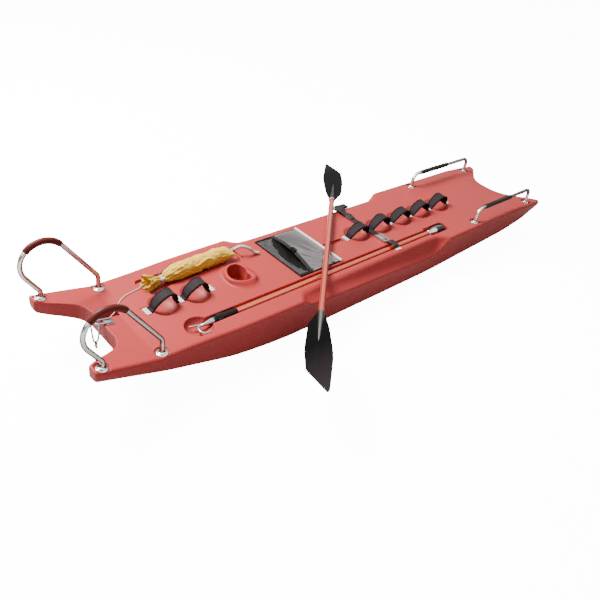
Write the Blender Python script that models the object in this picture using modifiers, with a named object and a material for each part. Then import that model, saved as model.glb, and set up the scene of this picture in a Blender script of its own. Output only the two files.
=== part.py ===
"""Ice rescue board: a moulded board with grab handles, webbing loops and its stowed rescue gear.

The origin is on the ground under the middle of the hull. +X points to the bow, +Y to port, +Z up.
Heights whose names end in _UP or _DOWN are measured from the flat middle of the deck.
"""
import math

import bmesh
import bpy
import numpy as np
from mathutils import Matrix, Vector

# Clearance between pieces that touch.
GAP = 0.0003

# Roundness of the handles' tubes: a tube has four sides more than twice this number.
TUBE_ROUNDNESS = 5

# Sides of the throw bag's rings.
BAG_SIDES = 16

# Hull.
HULL_LENGTH = 3.20
HULL_WIDTH = 0.620
HULL_DEPTH = 0.215
DECK_EDGE_RADIUS = 0.018
KEEL_EDGE_RADIUS = 0.034
SIDE_TUMBLEHOME = 0.020
STERN_RAMP_LENGTH = 0.270
STERN_RAMP_RISE = 0.055
BOW_RAMP_LENGTH = 0.303
BOW_RAMP_DROP = 0.022
# Columns: share of the length from the stern, share of the half width, keel height over the ground.
HULL_STATIONS = (
    (0.000, 0.910, 0.212),
    (0.060, 0.928, 0.150),
    (0.125, 0.936, 0.087),
    (0.219, 0.985, 0.026),
    (0.312, 1.000, 0.002),
    (0.360, 1.000, 0.000),
    (0.620, 0.985, 0.000),
    (0.740, 0.975, 0.020),
    (0.875, 0.968, 0.049),
    (0.940, 0.968, 0.089),
    (0.975, 0.960, 0.136),
    (1.000, 0.930, 0.174),
)

# Stern notch and bow recess, both open to their end of the hull.
NOTCH_LENGTH = 0.177
BOW_RECESS_LENGTH = 0.223
# Columns: distance from the notch's root towards the stern, half width of the notch there.
NOTCH_OUTLINE = (
    (0.000, 0.092),
    (0.005, 0.115),
    (0.014, 0.135),
    (0.032, 0.155),
    (0.077, 0.178),
    (0.127, 0.197),
    (0.184, 0.226),
    (0.260, 0.258),
)
# Columns: distance from the recess's root towards the bow, half width of the recess there.
BOW_OUTLINE = (
    (0.000, 0.012),
    (0.003, 0.050),
    (0.018, 0.090),
    (0.048, 0.130),
    (0.093, 0.167),
    (0.153, 0.210),
    (0.192, 0.238),
    (0.209, 0.258),
    (0.213, 0.276),
    (0.203, 0.300),
    (0.180, 0.330),
)

# Waist insets in the hull's sides.
INSET_HALF_WIDTH = 0.245
INSET_LEDGE_HALF_WIDTH = 0.283
INSET_LEDGE_SLOPE = 0.25
INSET_CUT_BEYOND = 0.060
# Columns: x, how far the deck edge and the ledge stand out from the values above, depth of the ledge.
INSET_STATIONS = (
    (-0.604, 0.066, 0.030, 0.002),
    (-0.580, 0.040, 0.016, 0.012),
    (-0.552, 0.014, 0.005, 0.026),
    (-0.525, 0.000, 0.000, 0.036),
    (-0.470, 0.000, 0.000, 0.042),
    (-0.190, 0.000, 0.000, 0.055),
    (0.130, 0.000, 0.000, 0.071),
    (0.340, 0.000, 0.000, 0.083),
    (0.430, 0.000, 0.000, 0.084),
    (0.488, 0.002, 0.002, 0.066),
    (0.526, 0.022, 0.010, 0.041),
    (0.570, 0.066, 0.030, 0.004),
)

# Tube handles and their rubber sleeves.
TUBE_RADIUS = 0.0105
GRIP_RADIUS = 0.0140
GRIP_BORE_CLEARANCE = 0.0003
FLANGE_RADIUS = 0.025
FLANGE_THICKNESS = 0.004
DIMPLE_RADIUS = 0.031
DIMPLE_DEPTH = 0.006
HANDLE_Y = 0.251
STERN_FOOT_SETBACK = 0.040
STERN_HANDLE_SPAN = 0.255
# How far the arch's centre lies ahead of the aft foot.
STERN_ARCH_AHEAD = 0.030
STERN_ARCH_UP = 0.205
STERN_ARCH_RADIUS = 0.096
STERN_BEND_RADIUS = 0.050
STERN_ROOT_HEIGHT = 0.024
STERN_ROOT_RADIUS = 0.030
STERN_GRIP_MARGIN = 6.0
STERN_GRIP_SWEEP = 94.0
BOW_FOOT_SETBACK = 0.146
BOW_HANDLE_SPAN = 0.588
BOW_HANDLE_UP = 0.080
BOW_BEND_RADIUS = 0.045
BOW_GRIP_LENGTH = 0.280
BOW_GRIP_AFT_OFFSET = 0.070

# Webbing loops along the centreline, each over a dished hollow, with a small plate at each end.
LOOP_WIDTH = 0.048
LOOP_THICKNESS = 0.008
LOOP_TAB_THICKNESS = 0.003
LOOP_FOOT_OFFSET = 0.0285
LOOP_FULLNESS = 1.9
PLATE_LENGTH = 0.020
PLATE_WIDTH = 0.046
PLATE_THICKNESS = 0.003
PLATE_RECESS_MARGIN = 0.006
SCOOP_HALF_WIDTH = 0.072
SCOOP_DEPTH = 0.030
# Columns: name, first plate's x, plate pitch, number of loops.
LOOP_ROWS = (
    ("stern", -1.220, 0.1645, 2),
    ("bow", 0.000, 0.1800, 5),
)
# Columns: height of each loop's crest, how far the crest leans towards the bow. Rows as above, in order.
LOOP_CRESTS = (
    (0.065, 0.002),
    (0.064, -0.006),
    (0.056, -0.002),
    (0.063, -0.010),
    (0.059, -0.005),
    (0.062, -0.010),
    (0.064, -0.006),
)

# Moulded collar with a deep well.
COLLAR_X = -0.722
COLLAR_Y = 0.010
COLLAR_HEIGHT = 0.022
COLLAR_WELL_DEPTH = 0.064
COLLAR_WELL_TAPER = 0.90
# Columns: direction from the bow in degrees, radius of the well, of the rim and of the base.
COLLAR_OUTLINE = (
    (0, 0.045, 0.056, 0.088),
    (30, 0.055, 0.064, 0.090),
    (60, 0.067, 0.079, 0.097),
    (90, 0.065, 0.076, 0.098),
    (120, 0.058, 0.067, 0.091),
    (150, 0.053, 0.065, 0.080),
    (180, 0.057, 0.069, 0.077),
    (210, 0.063, 0.076, 0.087),
    (240, 0.064, 0.077, 0.100),
    (270, 0.066, 0.078, 0.111),
    (290, 0.070, 0.082, 0.109),
    (305, 0.060, 0.083, 0.104),
    (322, 0.043, 0.072, 0.096),
    (340, 0.039, 0.058, 0.089),
)

# Boat hook in its groove.
POLE_Y = -0.187
POLE_DOWN = 0.012
POLE_RADIUS = 0.0145
POLE_AFT_X = -0.886
POLE_FORE_X = 0.490
GROOVE_RADIUS = 0.024
# How far the centre of the head's pocket lies beyond the shank.
HOOK_POCKET_BEYOND = 0.012
HOOK_POCKET_RADIUS = 0.056
SLEEVE_LENGTH = 0.058
SLEEVE_RADIUS = 0.0178
SOCKET_LENGTH = 0.068
SOCKET_RADIUS = 0.0215
POLE_COLLAR_LENGTH = 0.068
POLE_COLLAR_RADIUS = 0.0265
POLE_END_LENGTH = 0.085
POLE_END_RADIUS = 0.0275
END_POCKET_MARGIN = 0.010
HOOK_SHANK_LENGTH = 0.066
HOOK_ROD_RADIUS = 0.0055

# Throw bag in its tray. It lies askew, and its lengths run from the tied neck towards the bow.
BAG_NECK_X = -1.058
BAG_NECK_Y = 0.149
BAG_YAW = 2.9
BAG_LENGTH = 0.408
BAG_RADIUS = 0.0385
BAG_NECK_RADIUS = 0.016
BAG_MOUTH_LENGTH = 0.082
BAG_MOUTH_RADIUS = 0.038
TRAY_AFT_X = -1.158
TRAY_FORE_X = -0.600
TRAY_STARBOARD_Y = 0.104
TRAY_PORT_Y = 0.214
TRAY_TAPER = 0.024
TRAY_DEPTH = 0.012
TRAY_CORNER = 0.020
TIE_WIDTH = 0.010
TIE_THICKNESS = 0.0025
TOGGLE_LENGTH = 0.022
TOGGLE_RADIUS = 0.008
TAIL_RADIUS = 0.0078
BAG_CORD_RADIUS = 0.0015
# Columns: name, x and y of the starboard end on the deck, x and y of the port end.
BAG_CORDS = (
    ("aft", -1.133, 0.094, -0.930, 0.252),
    ("fore", -0.632, 0.112, -0.704, 0.252),
)
LINE_RADIUS = 0.0022

# Pocket of grey cloth.
POCKET_AFT_X = -0.468
POCKET_FORE_X = -0.196
POCKET_STARBOARD_Y = -0.150
POCKET_PORT_Y = 0.205
POCKET_CLOTH = 0.003
POCKET_MOUTH_PORT_X = -0.362
POCKET_MOUTH_STARBOARD_X = -0.400
POCKET_HEM = 0.016
POCKET_BULGE = 0.026
BATTEN_RADIUS = 0.007
POCKET_STRAP_WIDTH = 0.020
POCKET_STRAP_THICKNESS = 0.002
POCKET_BUCKLE_LENGTH = 0.034

# Cross strap that holds the boat hook.
STRAP_WIDTH = 0.037
STRAP_THICKNESS = 0.002
STRAP_PORT_Y = 0.272
STRAP_STARBOARD_Y = -0.232
BUCKLE_Y = -0.104
BUCKLE_LENGTH = 0.076
BUCKLE_WIDTH = 0.046
BUCKLE_THICKNESS = 0.013
STRAP_ANCHOR_LENGTH = 0.014
STRAP_HUMP = 0.020
FOLD_LENGTH = 0.060
FOLD_WIDTH = 0.034

# Tow eye and snap hook in the stern notch.
EYE_Y = 0.006
EYE_ROD_RADIUS = 0.004
EYE_HALF_WIDTH = 0.014
EYE_OVERHANG = 0.028
EYE_PLATE_LENGTH = 0.040
EYE_PLATE_WIDTH = 0.044
EYE_PLATE_THICKNESS = 0.003
HOOK_WIRE_RADIUS = 0.0037
HOOK_LENGTH = 0.098
HOOK_TOP_RADIUS = 0.0150
HOOK_BOTTOM_RADIUS = 0.0075
HOOK_GATE_LENGTH = 0.042
HOOK_GATE_RADIUS = 0.0045
SWIVEL_RADIUS = 0.011
SWIVEL_WIRE_RADIUS = 0.003
LINE_SLOT_LENGTH = 0.100
LINE_SLOT_WIDTH = 0.028
LINE_SLOT_DEPTH = 0.016
LINE_SLOT_Y = 0.050

# Double-bladed paddle laid across the deck.
PADDLE_LENGTH = 2.067
PADDLE_X = -0.206
PADDLE_Y = -0.059
PADDLE_YAW = 42.85
PADDLE_SHAFT_RADIUS = 0.0148
BLADE_LENGTH = 0.487
BLADE_HALF_WIDTH = 0.061
BLADE_THICKNESS = 0.005
BLADE_SOCKET_RADIUS = 0.0175
BLADE_SOCKET_LENGTH = 0.240

# Heights and ends worked out from the sizes above.
DECK = HULL_DEPTH
STERN_X = -HULL_LENGTH / 2
BOW_X = HULL_LENGTH / 2
NOTCH_X = STERN_X + NOTCH_LENGTH
STERN_CREASE_X = STERN_X + STERN_RAMP_LENGTH
BOW_CREASE_X = BOW_X - BOW_RAMP_LENGTH
STERN_ARCH_X = STERN_X + STERN_FOOT_SETBACK + STERN_ARCH_AHEAD
SOCKET_AFT_X = POLE_AFT_X - SLEEVE_LENGTH - SOCKET_LENGTH
HOOK_POCKET_X = SOCKET_AFT_X - HOOK_SHANK_LENGTH - HOOK_POCKET_BEYOND
# The cross strap lies over the second plate of the bow row, on top of the loops' tabs.
STRAP_X = LOOP_ROWS[1][1] + LOOP_ROWS[1][2]
STRAP_UP = GAP + LOOP_TAB_THICKNESS + GAP + STRAP_THICKNESS / 2

# Colours: name, red, green, blue, roughness, metallic.
COLOURS = {
    "hull_plastic": (0.62, 0.055, 0.045, 0.42, 0.0),
    "steel": (0.72, 0.71, 0.69, 0.18, 1.0),
    "dull_steel": (0.45, 0.45, 0.45, 0.35, 1.0),
    "red_rubber": (0.20, 0.018, 0.016, 0.55, 0.0),
    "black_rubber": (0.015, 0.015, 0.016, 0.60, 0.0),
    "webbing": (0.018, 0.018, 0.022, 0.80, 0.0),
    "grey_cloth": (0.36, 0.34, 0.35, 0.50, 0.0),
    "yellow_cloth": (0.78, 0.60, 0.16, 0.70, 0.0),
    "white_plastic": (0.82, 0.80, 0.77, 0.45, 0.0),
    "white_cord": (0.80, 0.76, 0.70, 0.80, 0.0),
    "black_cord": (0.020, 0.020, 0.020, 0.80, 0.0),
    "orange_tube": (0.66, 0.17, 0.08, 0.28, 0.3),
    "black_plastic": (0.012, 0.012, 0.013, 0.35, 0.0),
}


def clear_scene():
    """Remove whatever the file already holds."""
    for old in list(bpy.data.objects):
        bpy.data.objects.remove(old)


def new_collection(name):
    """Make a collection in the scene."""
    collection = bpy.data.collections.new(name)
    bpy.context.scene.collection.children.link(collection)
    return collection


def make_material(name):
    """Principled material with one row of COLOURS."""
    red, green, blue, roughness, metallic = COLOURS[name]
    material = bpy.data.materials.new(name)
    material.use_nodes = True
    shader = material.node_tree.nodes["Principled BSDF"]
    shader.inputs["Base Color"].default_value = (red, green, blue, 1.0)
    shader.inputs["Roughness"].default_value = roughness
    shader.inputs["Metallic"].default_value = metallic
    return material


def smooth_value(place, places, values):
    """Value at a place on a smooth curve through table rows that never overshoots them."""
    places = np.array(places)
    values = np.array(values)
    steps = np.diff(places)
    slopes = np.diff(values) / steps
    tangents = np.zeros(len(places))
    tangents[0] = slopes[0]
    tangents[-1] = slopes[-1]
    for i in range(1, len(places) - 1):
        if slopes[i - 1] * slopes[i] > 0:
            tangents[i] = 2 * slopes[i - 1] * slopes[i] / (slopes[i - 1] + slopes[i])
    row = int(np.clip(np.searchsorted(places, place) - 1, 0, len(steps) - 1))
    t = (place - places[row]) / steps[row]
    start = (1 + 2 * t) * (1 - t) ** 2 * values[row] + t * (1 - t) ** 2 * steps[row] * tangents[row]
    end = t * t * (3 - 2 * t) * values[row + 1] - t * t * (1 - t) * steps[row] * tangents[row + 1]
    return float(start + end)


def station(x):
    """Half width and keel height of the hull at x."""
    shares, widths, keels = zip(*HULL_STATIONS)
    share = (x - STERN_X) / HULL_LENGTH
    half_width = smooth_value(share, shares, widths) * HULL_WIDTH / 2
    return half_width, smooth_value(share, shares, keels)


def deck_height(x):
    """Height of the deck at x, with its rise at the stern and its fall at the bow."""
    rise = STERN_RAMP_RISE * max(0.0, STERN_CREASE_X - x) / STERN_RAMP_LENGTH
    fall = BOW_RAMP_DROP * max(0.0, x - BOW_CREASE_X) / BOW_RAMP_LENGTH
    return DECK + rise - fall


def deck_tilt(x):
    """Rotation about Y that lays a piece on the deck at x."""
    if x < STERN_CREASE_X:
        return math.atan2(STERN_RAMP_RISE, STERN_RAMP_LENGTH)
    if x > BOW_CREASE_X:
        return math.atan2(BOW_RAMP_DROP, BOW_RAMP_LENGTH)
    return 0.0


def rounded(corners, closed=True, steps=6):
    """Points of an outline or path whose corners (x, y, radius) are rounded by arcs."""
    points = []
    count = len(corners)
    for i, (x, y, radius) in enumerate(corners):
        corner = Vector((x, y))
        if radius <= 0 or (not closed and i in (0, count - 1)):
            points.append(corner)
            continue
        before = (Vector(corners[i - 1][:2]) - corner).normalized()
        after = (Vector(corners[(i + 1) % count][:2]) - corner).normalized()
        half_angle = before.angle(after) / 2
        centre = corner + (before + after).normalized() * radius / math.sin(half_angle)
        first = corner + before * radius / math.tan(half_angle) - centre
        last = corner + after * radius / math.tan(half_angle) - centre
        sweep = math.pi - 2 * half_angle
        for k in range(steps + 1):
            w = k / steps
            along = first * math.sin((1 - w) * sweep) + last * math.sin(w * sweep)
            points.append(centre + along / math.sin(sweep))
    return points


def mesh_object(name, bm, collection, material=None):
    """Turn a bmesh into an object."""
    bmesh.ops.recalc_face_normals(bm, faces=bm.faces)
    mesh = bpy.data.meshes.new(name)
    bm.to_mesh(mesh)
    bm.free()
    obj = bpy.data.objects.new(name, mesh)
    collection.objects.link(obj)
    if material:
        mesh.materials.append(material)
    if collection is CUTTERS:
        obj.hide_render = True
        obj.display_type = "WIRE"
    return obj


def smooth_shade(obj, angle=35.0):
    """Shade round faces smooth and keep the sharp edges."""
    obj.data.shade_smooth()
    obj.data.set_sharp_from_angle(angle=math.radians(angle))


def loft(name, rings, collection, material=None):
    """Closed solid through rings of the same number of points, capped at both ends."""
    bm = bmesh.new()
    loops = [[bm.verts.new(point) for point in ring] for ring in rings]
    size = len(rings[0])
    for low, high in zip(loops, loops[1:]):
        for i in range(size):
            j = (i + 1) % size
            bm.faces.new((low[i], low[j], high[j], high[i]))
    bm.faces.new(loops[0])
    bm.faces.new(loops[-1])
    return mesh_object(name, bm, collection, material)


def box(name, low, high, collection, material=None, bevel=0.0):
    """Box between two corners."""
    low = Vector(low)
    high = Vector(high)
    bm = bmesh.new()
    bmesh.ops.create_cube(bm, size=1.0)
    bmesh.ops.scale(bm, vec=high - low, verts=bm.verts)
    bmesh.ops.translate(bm, vec=(low + high) / 2, verts=bm.verts)
    obj = mesh_object(name, bm, collection, material)
    if bevel:
        edge = obj.modifiers.new("Edges", "BEVEL")
        edge.width = bevel
        edge.segments = 2
    return obj


def cylinder(name, centre, radius, height, collection, material=None, top_radius=None,
             turn=None, segments=20):
    """Cylinder or cone about local Z, turned by a matrix and placed at its centre."""
    bm = bmesh.new()
    top = radius if top_radius is None else top_radius
    bmesh.ops.create_cone(bm, cap_ends=True, segments=segments, radius1=radius, radius2=top, depth=height)
    place = Matrix.Translation(centre) @ (turn or Matrix.Identity(4))
    bmesh.ops.transform(bm, matrix=place, verts=bm.verts)
    obj = mesh_object(name, bm, collection, material)
    smooth_shade(obj)
    return obj


def outline_solid(name, points, thickness, place, collection, material=None):
    """Flat outline in local XY, thickened evenly both ways and placed by a matrix."""
    curve = bpy.data.curves.new(name, "CURVE")
    curve.dimensions = "2D"
    curve.fill_mode = "BOTH"
    curve.extrude = thickness / 2
    spline = curve.splines.new("POLY")
    spline.points.add(len(points) - 1)
    for point, place_on in zip(spline.points, points):
        point.co = (place_on[0], place_on[1], 0.0, 1.0)
    spline.use_cyclic_u = True
    obj = bpy.data.objects.new(name, curve)
    collection.objects.link(obj)
    obj.matrix_world = place
    if material:
        curve.materials.append(material)
    return as_mesh(obj, collection)


def tube(name, points, radius, collection, material=None, resolution=3):
    """Round tube along a list of 3D points."""
    curve = bpy.data.curves.new(name, "CURVE")
    curve.dimensions = "3D"
    curve.bevel_depth = radius
    curve.bevel_resolution = resolution
    curve.use_fill_caps = True
    spline = curve.splines.new("POLY")
    spline.points.add(len(points) - 1)
    for point, place_on in zip(spline.points, points):
        point.co = (*place_on, 1.0)
    obj = bpy.data.objects.new(name, curve)
    collection.objects.link(obj)
    if material:
        curve.materials.append(material)
    solid = as_mesh(obj, collection)
    smooth_shade(solid, 50.0)
    return solid


def as_mesh(curve_object, collection):
    """Replace a curve object by the closed mesh that it draws."""
    bpy.context.view_layer.update()
    evaluated = curve_object.evaluated_get(bpy.context.evaluated_depsgraph_get())
    mesh = bpy.data.meshes.new_from_object(evaluated)
    bm = bmesh.new()
    bm.from_mesh(mesh)
    bmesh.ops.remove_doubles(bm, verts=bm.verts, dist=0.00001)
    bmesh.ops.recalc_face_normals(bm, faces=bm.faces)
    bm.to_mesh(mesh)
    bm.free()
    name = curve_object.name
    place = curve_object.matrix_world.copy()
    bpy.data.objects.remove(curve_object)
    obj = bpy.data.objects.new(name, mesh)
    obj.matrix_world = place
    collection.objects.link(obj)
    if collection is CUTTERS:
        obj.hide_render = True
        obj.display_type = "WIRE"
    return obj


def combine(target, other, operation):
    """Boolean the other object into or out of the target."""
    cut = target.modifiers.new(operation.title() + " " + other.name, "BOOLEAN")
    cut.object = other
    cut.operation = operation


def band(name, path, thickness, width, x_axis, origin, collection, material):
    """Flat strap: a path of (along, up) points, thickened and given a width across.

    x_axis is the direction that the path runs in, and origin is where (0, 0) lies.
    """
    points = [Vector(point) for point in path]
    left = []
    right = []
    for i, point in enumerate(points):
        ahead = points[min(i + 1, len(points) - 1)] - points[max(i - 1, 0)]
        normal = Vector((-ahead.y, ahead.x)).normalized() * thickness / 2
        left.append(point + normal)
        right.append(point - normal)
    outline = left + right[::-1]
    along = Vector(x_axis).normalized()
    across = along.cross(Vector((0, 0, 1)))
    turn = Matrix((along, Vector((0, 0, 1)), across)).transposed().to_4x4()
    return outline_solid(name, outline, width, Matrix.Translation(origin) @ turn, collection, material)


def hull_ring(x):
    """Hull section at x as a closed ring of points."""
    half_width, keel = station(x)
    deck = deck_height(x)
    depth = deck - keel
    deck_radius = min(DECK_EDGE_RADIUS, 0.35 * depth)
    keel_radius = min(KEEL_EDGE_RADIUS, 0.45 * depth)
    foot = half_width - SIDE_TUMBLEHOME * depth / HULL_DEPTH
    corners = (
        (-half_width, deck, deck_radius),
        (-foot, keel, keel_radius),
        (foot, keel, keel_radius),
        (half_width, deck, deck_radius),
    )
    return [(x, point.x, point.y) for point in rounded(corners, steps=4)]


def hull_body():
    """Moulded shell of the board before anything is cut."""
    places = [STERN_X + row[0] * HULL_LENGTH for row in HULL_STATIONS]
    places += [(first + last) / 2 for first, last in zip(places, places[1:])]
    places += [STERN_CREASE_X, BOW_CREASE_X]
    return loft("hull", [hull_ring(x) for x in sorted(set(places))], PARTS, MATERIALS["hull_plastic"])


def end_cutter(name, root_x, direction, outline):
    """Cutter through the hull's full depth for an opening in one end of the hull."""
    half = []
    steps = 14
    distances = [row[0] for row in outline]
    for k in range(steps + 1):
        place = (len(outline) - 1) * k / steps
        x = root_x + direction * catmull(place, range(len(outline)), distances)
        half.append((x, catmull(place, range(len(outline)), [row[1] for row in outline])))
    outside = root_x + direction * (distances[-1] + 0.100)
    half.append((outside, outline[-1][1]))
    points = half + [(x, -y) for x, y in half[::-1]]
    return outline_solid(name, points, 1.0, Matrix.Identity(4), CUTTERS)


def stern_notch():
    """Cutter for the deep notch between the stern horns."""
    return end_cutter("cut_notch", NOTCH_X, -1, NOTCH_OUTLINE)


def bow_recess():
    """Cutter for the curved recess of the bow, which also rounds the bow's two tips."""
    return end_cutter("cut_bow", BOW_X - BOW_RECESS_LENGTH, 1, BOW_OUTLINE)


def waist_inset(side):
    """Cutter for the long inset in one side, which leaves a ledge under it."""
    above = 0.030
    outside = HULL_WIDTH / 2 + INSET_CUT_BEYOND
    rings = []
    for x, edge_out, ledge_out, depth in INSET_STATIONS:
        edge = INSET_HALF_WIDTH + edge_out
        ledge = INSET_LEDGE_HALF_WIDTH + ledge_out
        lean = (ledge - edge) * above / depth if depth > above else 0.0
        low = depth + INSET_LEDGE_SLOPE * (outside - ledge)
        ring = ((edge - lean, above), (edge, 0.0), (ledge, -depth), (outside, -low), (outside, above))
        rings.append([(x, side * y, DECK + up) for y, up in ring])
    return loft(f"cut_inset_{side:+d}", rings, CUTTERS)


def kidney(column, scale, height):
    """Ring round the collar at a height over the deck, from one column of its outline."""
    angles = [row[0] for row in COLLAR_OUTLINE]
    radii = [row[column] for row in COLLAR_OUTLINE]
    angles = [angles[-1] - 360] + angles + [360 + angles[0], 360 + angles[1]]
    radii = [radii[-1]] + radii + [radii[0], radii[1]]
    ring = []
    count = 32
    for k in range(count):
        angle = 360 * k / count
        reach = catmull(angle, angles, radii) * scale
        x = COLLAR_X + reach * math.cos(math.radians(angle))
        y = COLLAR_Y + reach * math.sin(math.radians(angle))
        ring.append((x, y, DECK + height))
    return ring


def collar():
    """Raised wall of the collar and the cutter for its well."""
    crown = 0.003
    wall = loft("add_collar", [
        kidney(3, 1.0, -0.010),
        kidney(3, 1.0, 0.001),
        kidney(2, 1.04, COLLAR_HEIGHT - crown),
        kidney(2, 0.96, COLLAR_HEIGHT),
    ], CUTTERS)
    well = loft("cut_well", [
        kidney(1, COLLAR_WELL_TAPER, -COLLAR_WELL_DEPTH),
        kidney(1, 0.99, COLLAR_HEIGHT - crown),
        kidney(1, 1.05, COLLAR_HEIGHT + crown),
        kidney(1, 1.05, COLLAR_HEIGHT + 0.010),
    ], CUTTERS)
    return wall, well


def handle_feet():
    """Each foot of the four handles: its x and the side that it is on."""
    feet = []
    for side in (1, -1):
        aft = STERN_X + STERN_FOOT_SETBACK
        fore = BOW_X - BOW_FOOT_SETBACK
        feet += [(aft, side), (aft + STERN_HANDLE_SPAN, side)]
        feet += [(fore - BOW_HANDLE_SPAN, side), (fore, side)]
    return feet


def foot_place(x, side, up):
    """Point over a foot, measured square to the deck there."""
    tilt = deck_tilt(x)
    normal = Vector((math.sin(tilt), 0, math.cos(tilt)))
    return Vector((x, side * HANDLE_Y, deck_height(x))) + normal * up


def dimples():
    """Cutters for the round dimples under the handles' flanges."""
    made = []
    for i, (x, side) in enumerate(handle_feet()):
        depth = 0.040
        centre = foot_place(x, side, depth / 2 - DIMPLE_DEPTH)
        turn = Matrix.Rotation(deck_tilt(x), 4, "Y")
        made.append(cylinder(f"cut_dimple_{i}", centre, DIMPLE_RADIUS, depth, CUTTERS, turn=turn))
    return made


def loop_plates():
    """Name and x of each small plate on the centreline."""
    places = []
    for name, first, pitch, count in LOOP_ROWS:
        places += [(f"{name}_anchor_plate_{k + 1}", first + k * pitch) for k in range(count + 1)]
    return places


def scoops():
    """Cutters for the dished hollows under the loops."""
    made = []
    for name, first, pitch, count in LOOP_ROWS:
        for k in range(count):
            bm = bmesh.new()
            bmesh.ops.create_uvsphere(bm, u_segments=18, v_segments=9, radius=1.0)
            half_length = pitch / 2 - LOOP_FOOT_OFFSET + LOOP_THICKNESS / 2
            bmesh.ops.scale(bm, vec=(half_length, SCOOP_HALF_WIDTH, SCOOP_DEPTH), verts=bm.verts)
            middle = Vector((first + (k + 0.5) * pitch, 0, DECK))
            bmesh.ops.translate(bm, vec=middle, verts=bm.verts)
            made.append(mesh_object(f"cut_scoop_{name}_{k}", bm, CUTTERS))
    return made


def plate_recesses():
    """Cutters for the recesses that the plates lie in."""
    made = []
    half_x = PLATE_LENGTH / 2 + PLATE_RECESS_MARGIN
    half_y = PLATE_WIDTH / 2 + PLATE_RECESS_MARGIN
    for name, x in loop_plates():
        low = (x - half_x, -half_y, DECK - PLATE_THICKNESS - GAP)
        high = (x + half_x, half_y, DECK + 0.010)
        made.append(box("cut_" + name, low, high, CUTTERS))
    return made


def groove():
    """Cutters for the boat hook's groove and the pockets at its ends."""
    half = GROOVE_RADIUS
    floor = POLE_DOWN + SOCKET_RADIUS + GAP
    outline = rounded((
        (-half, 0.020, 0),
        (-half, -floor, 0.016),
        (half, -floor, 0.016),
        (half, 0.020, 0),
    ), steps=4)
    end_x = POLE_FORE_X + POLE_COLLAR_LENGTH / 2
    length = end_x - HOOK_POCKET_X
    turn = Matrix(((0, 0, 1), (1, 0, 0), (0, 1, 0))).to_4x4()
    place = Matrix.Translation(((HOOK_POCKET_X + end_x) / 2, POLE_Y, DECK)) @ turn
    channel = outline_solid("cut_groove", outline, length, place, CUTTERS)

    depth = 0.060
    centre = (HOOK_POCKET_X, POLE_Y - 0.012, DECK - floor + depth / 2)
    round_pocket = cylinder("cut_hook_pocket", centre, HOOK_POCKET_RADIUS, depth, CUTTERS, segments=28)

    aft = POLE_FORE_X - END_POCKET_MARGIN
    fore = POLE_FORE_X + POLE_COLLAR_LENGTH + POLE_END_LENGTH + END_POCKET_MARGIN
    wide = POLE_END_RADIUS + END_POCKET_MARGIN
    deep = POLE_DOWN + POLE_END_RADIUS + GAP
    corners = ((aft, -wide, 0.012), (fore, -wide, 0.030), (fore, wide, 0.030), (aft, wide, 0.012))
    place = Matrix.Translation((0, POLE_Y, DECK - deep + depth / 2))
    end_pocket = outline_solid("cut_end_pocket", rounded(corners, steps=4), depth, place, CUTTERS)
    return [channel, round_pocket, end_pocket]


def bag_tray():
    """Cutter for the shallow tray that the throw bag lies in."""
    corners = (
        (TRAY_AFT_X, TRAY_STARBOARD_Y, TRAY_CORNER),
        (TRAY_FORE_X, TRAY_STARBOARD_Y + TRAY_TAPER, TRAY_CORNER),
        (TRAY_FORE_X, TRAY_PORT_Y - TRAY_TAPER / 2, TRAY_CORNER),
        (TRAY_AFT_X, TRAY_PORT_Y, TRAY_CORNER),
    )
    depth = 0.040
    place = Matrix.Translation((0, 0, DECK - TRAY_DEPTH + depth / 2))
    return outline_solid("cut_tray", rounded(corners, steps=3), depth, place, CUTTERS)


def small_slots():
    """Cutters for the line's slot at the notch and the slot ahead of the pocket."""
    start = NOTCH_X - 0.020
    end = NOTCH_X + LINE_SLOT_LENGTH
    line_slot = box(
        "cut_line_slot",
        (start, LINE_SLOT_Y - LINE_SLOT_WIDTH / 2, DECK - LINE_SLOT_DEPTH),
        (end, LINE_SLOT_Y + LINE_SLOT_WIDTH / 2, DECK + STERN_RAMP_RISE),
        CUTTERS,
    )
    fore = LOOP_ROWS[1][1] - PLATE_LENGTH / 2 - PLATE_RECESS_MARGIN - 0.012
    aft = POCKET_FORE_X + 2 * BATTEN_RADIUS + 0.004
    deck_slot = box("cut_deck_slot", (aft, -0.014, DECK - 0.012), (fore, 0.014, DECK + 0.010), CUTTERS)
    return [line_slot, deck_slot]


def hull():
    """The whole hull: body, collar and everything cut into it."""
    body = hull_body()
    combine(body, stern_notch(), "DIFFERENCE")
    combine(body, bow_recess(), "DIFFERENCE")
    for side in (1, -1):
        combine(body, waist_inset(side), "DIFFERENCE")
    wall, well = collar()
    combine(body, wall, "UNION")
    combine(body, well, "DIFFERENCE")
    for cutter in dimples() + scoops() + plate_recesses() + groove() + [bag_tray()] + small_slots():
        combine(body, cutter, "DIFFERENCE")
    smooth_shade(body, 30.0)
    return body


def tangent_angle(centre, radius, outside, turn):
    """Angle on a circle of the point whose tangent runs through an outside point."""
    away = Vector(outside) - Vector(centre)
    spread = math.acos(radius / away.length)
    return math.atan2(away.y, away.x) + turn * spread


def stern_arch_ends():
    """Angles at which a stern handle's straight legs meet its arch, aft leg first."""
    aft_x = STERN_X + STERN_FOOT_SETBACK
    centre = (STERN_ARCH_X, DECK + STERN_ARCH_UP)
    root = foot_place(aft_x, 1, STERN_ROOT_HEIGHT)
    corner = (aft_x + STERN_HANDLE_SPAN, DECK + STERN_BEND_RADIUS * 1.25)
    start = tangent_angle(centre, STERN_ARCH_RADIUS, (root.x, root.z), -1) % (2 * math.pi)
    end = tangent_angle(centre, STERN_ARCH_RADIUS, corner, 1) % (2 * math.pi)
    return start, end


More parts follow.
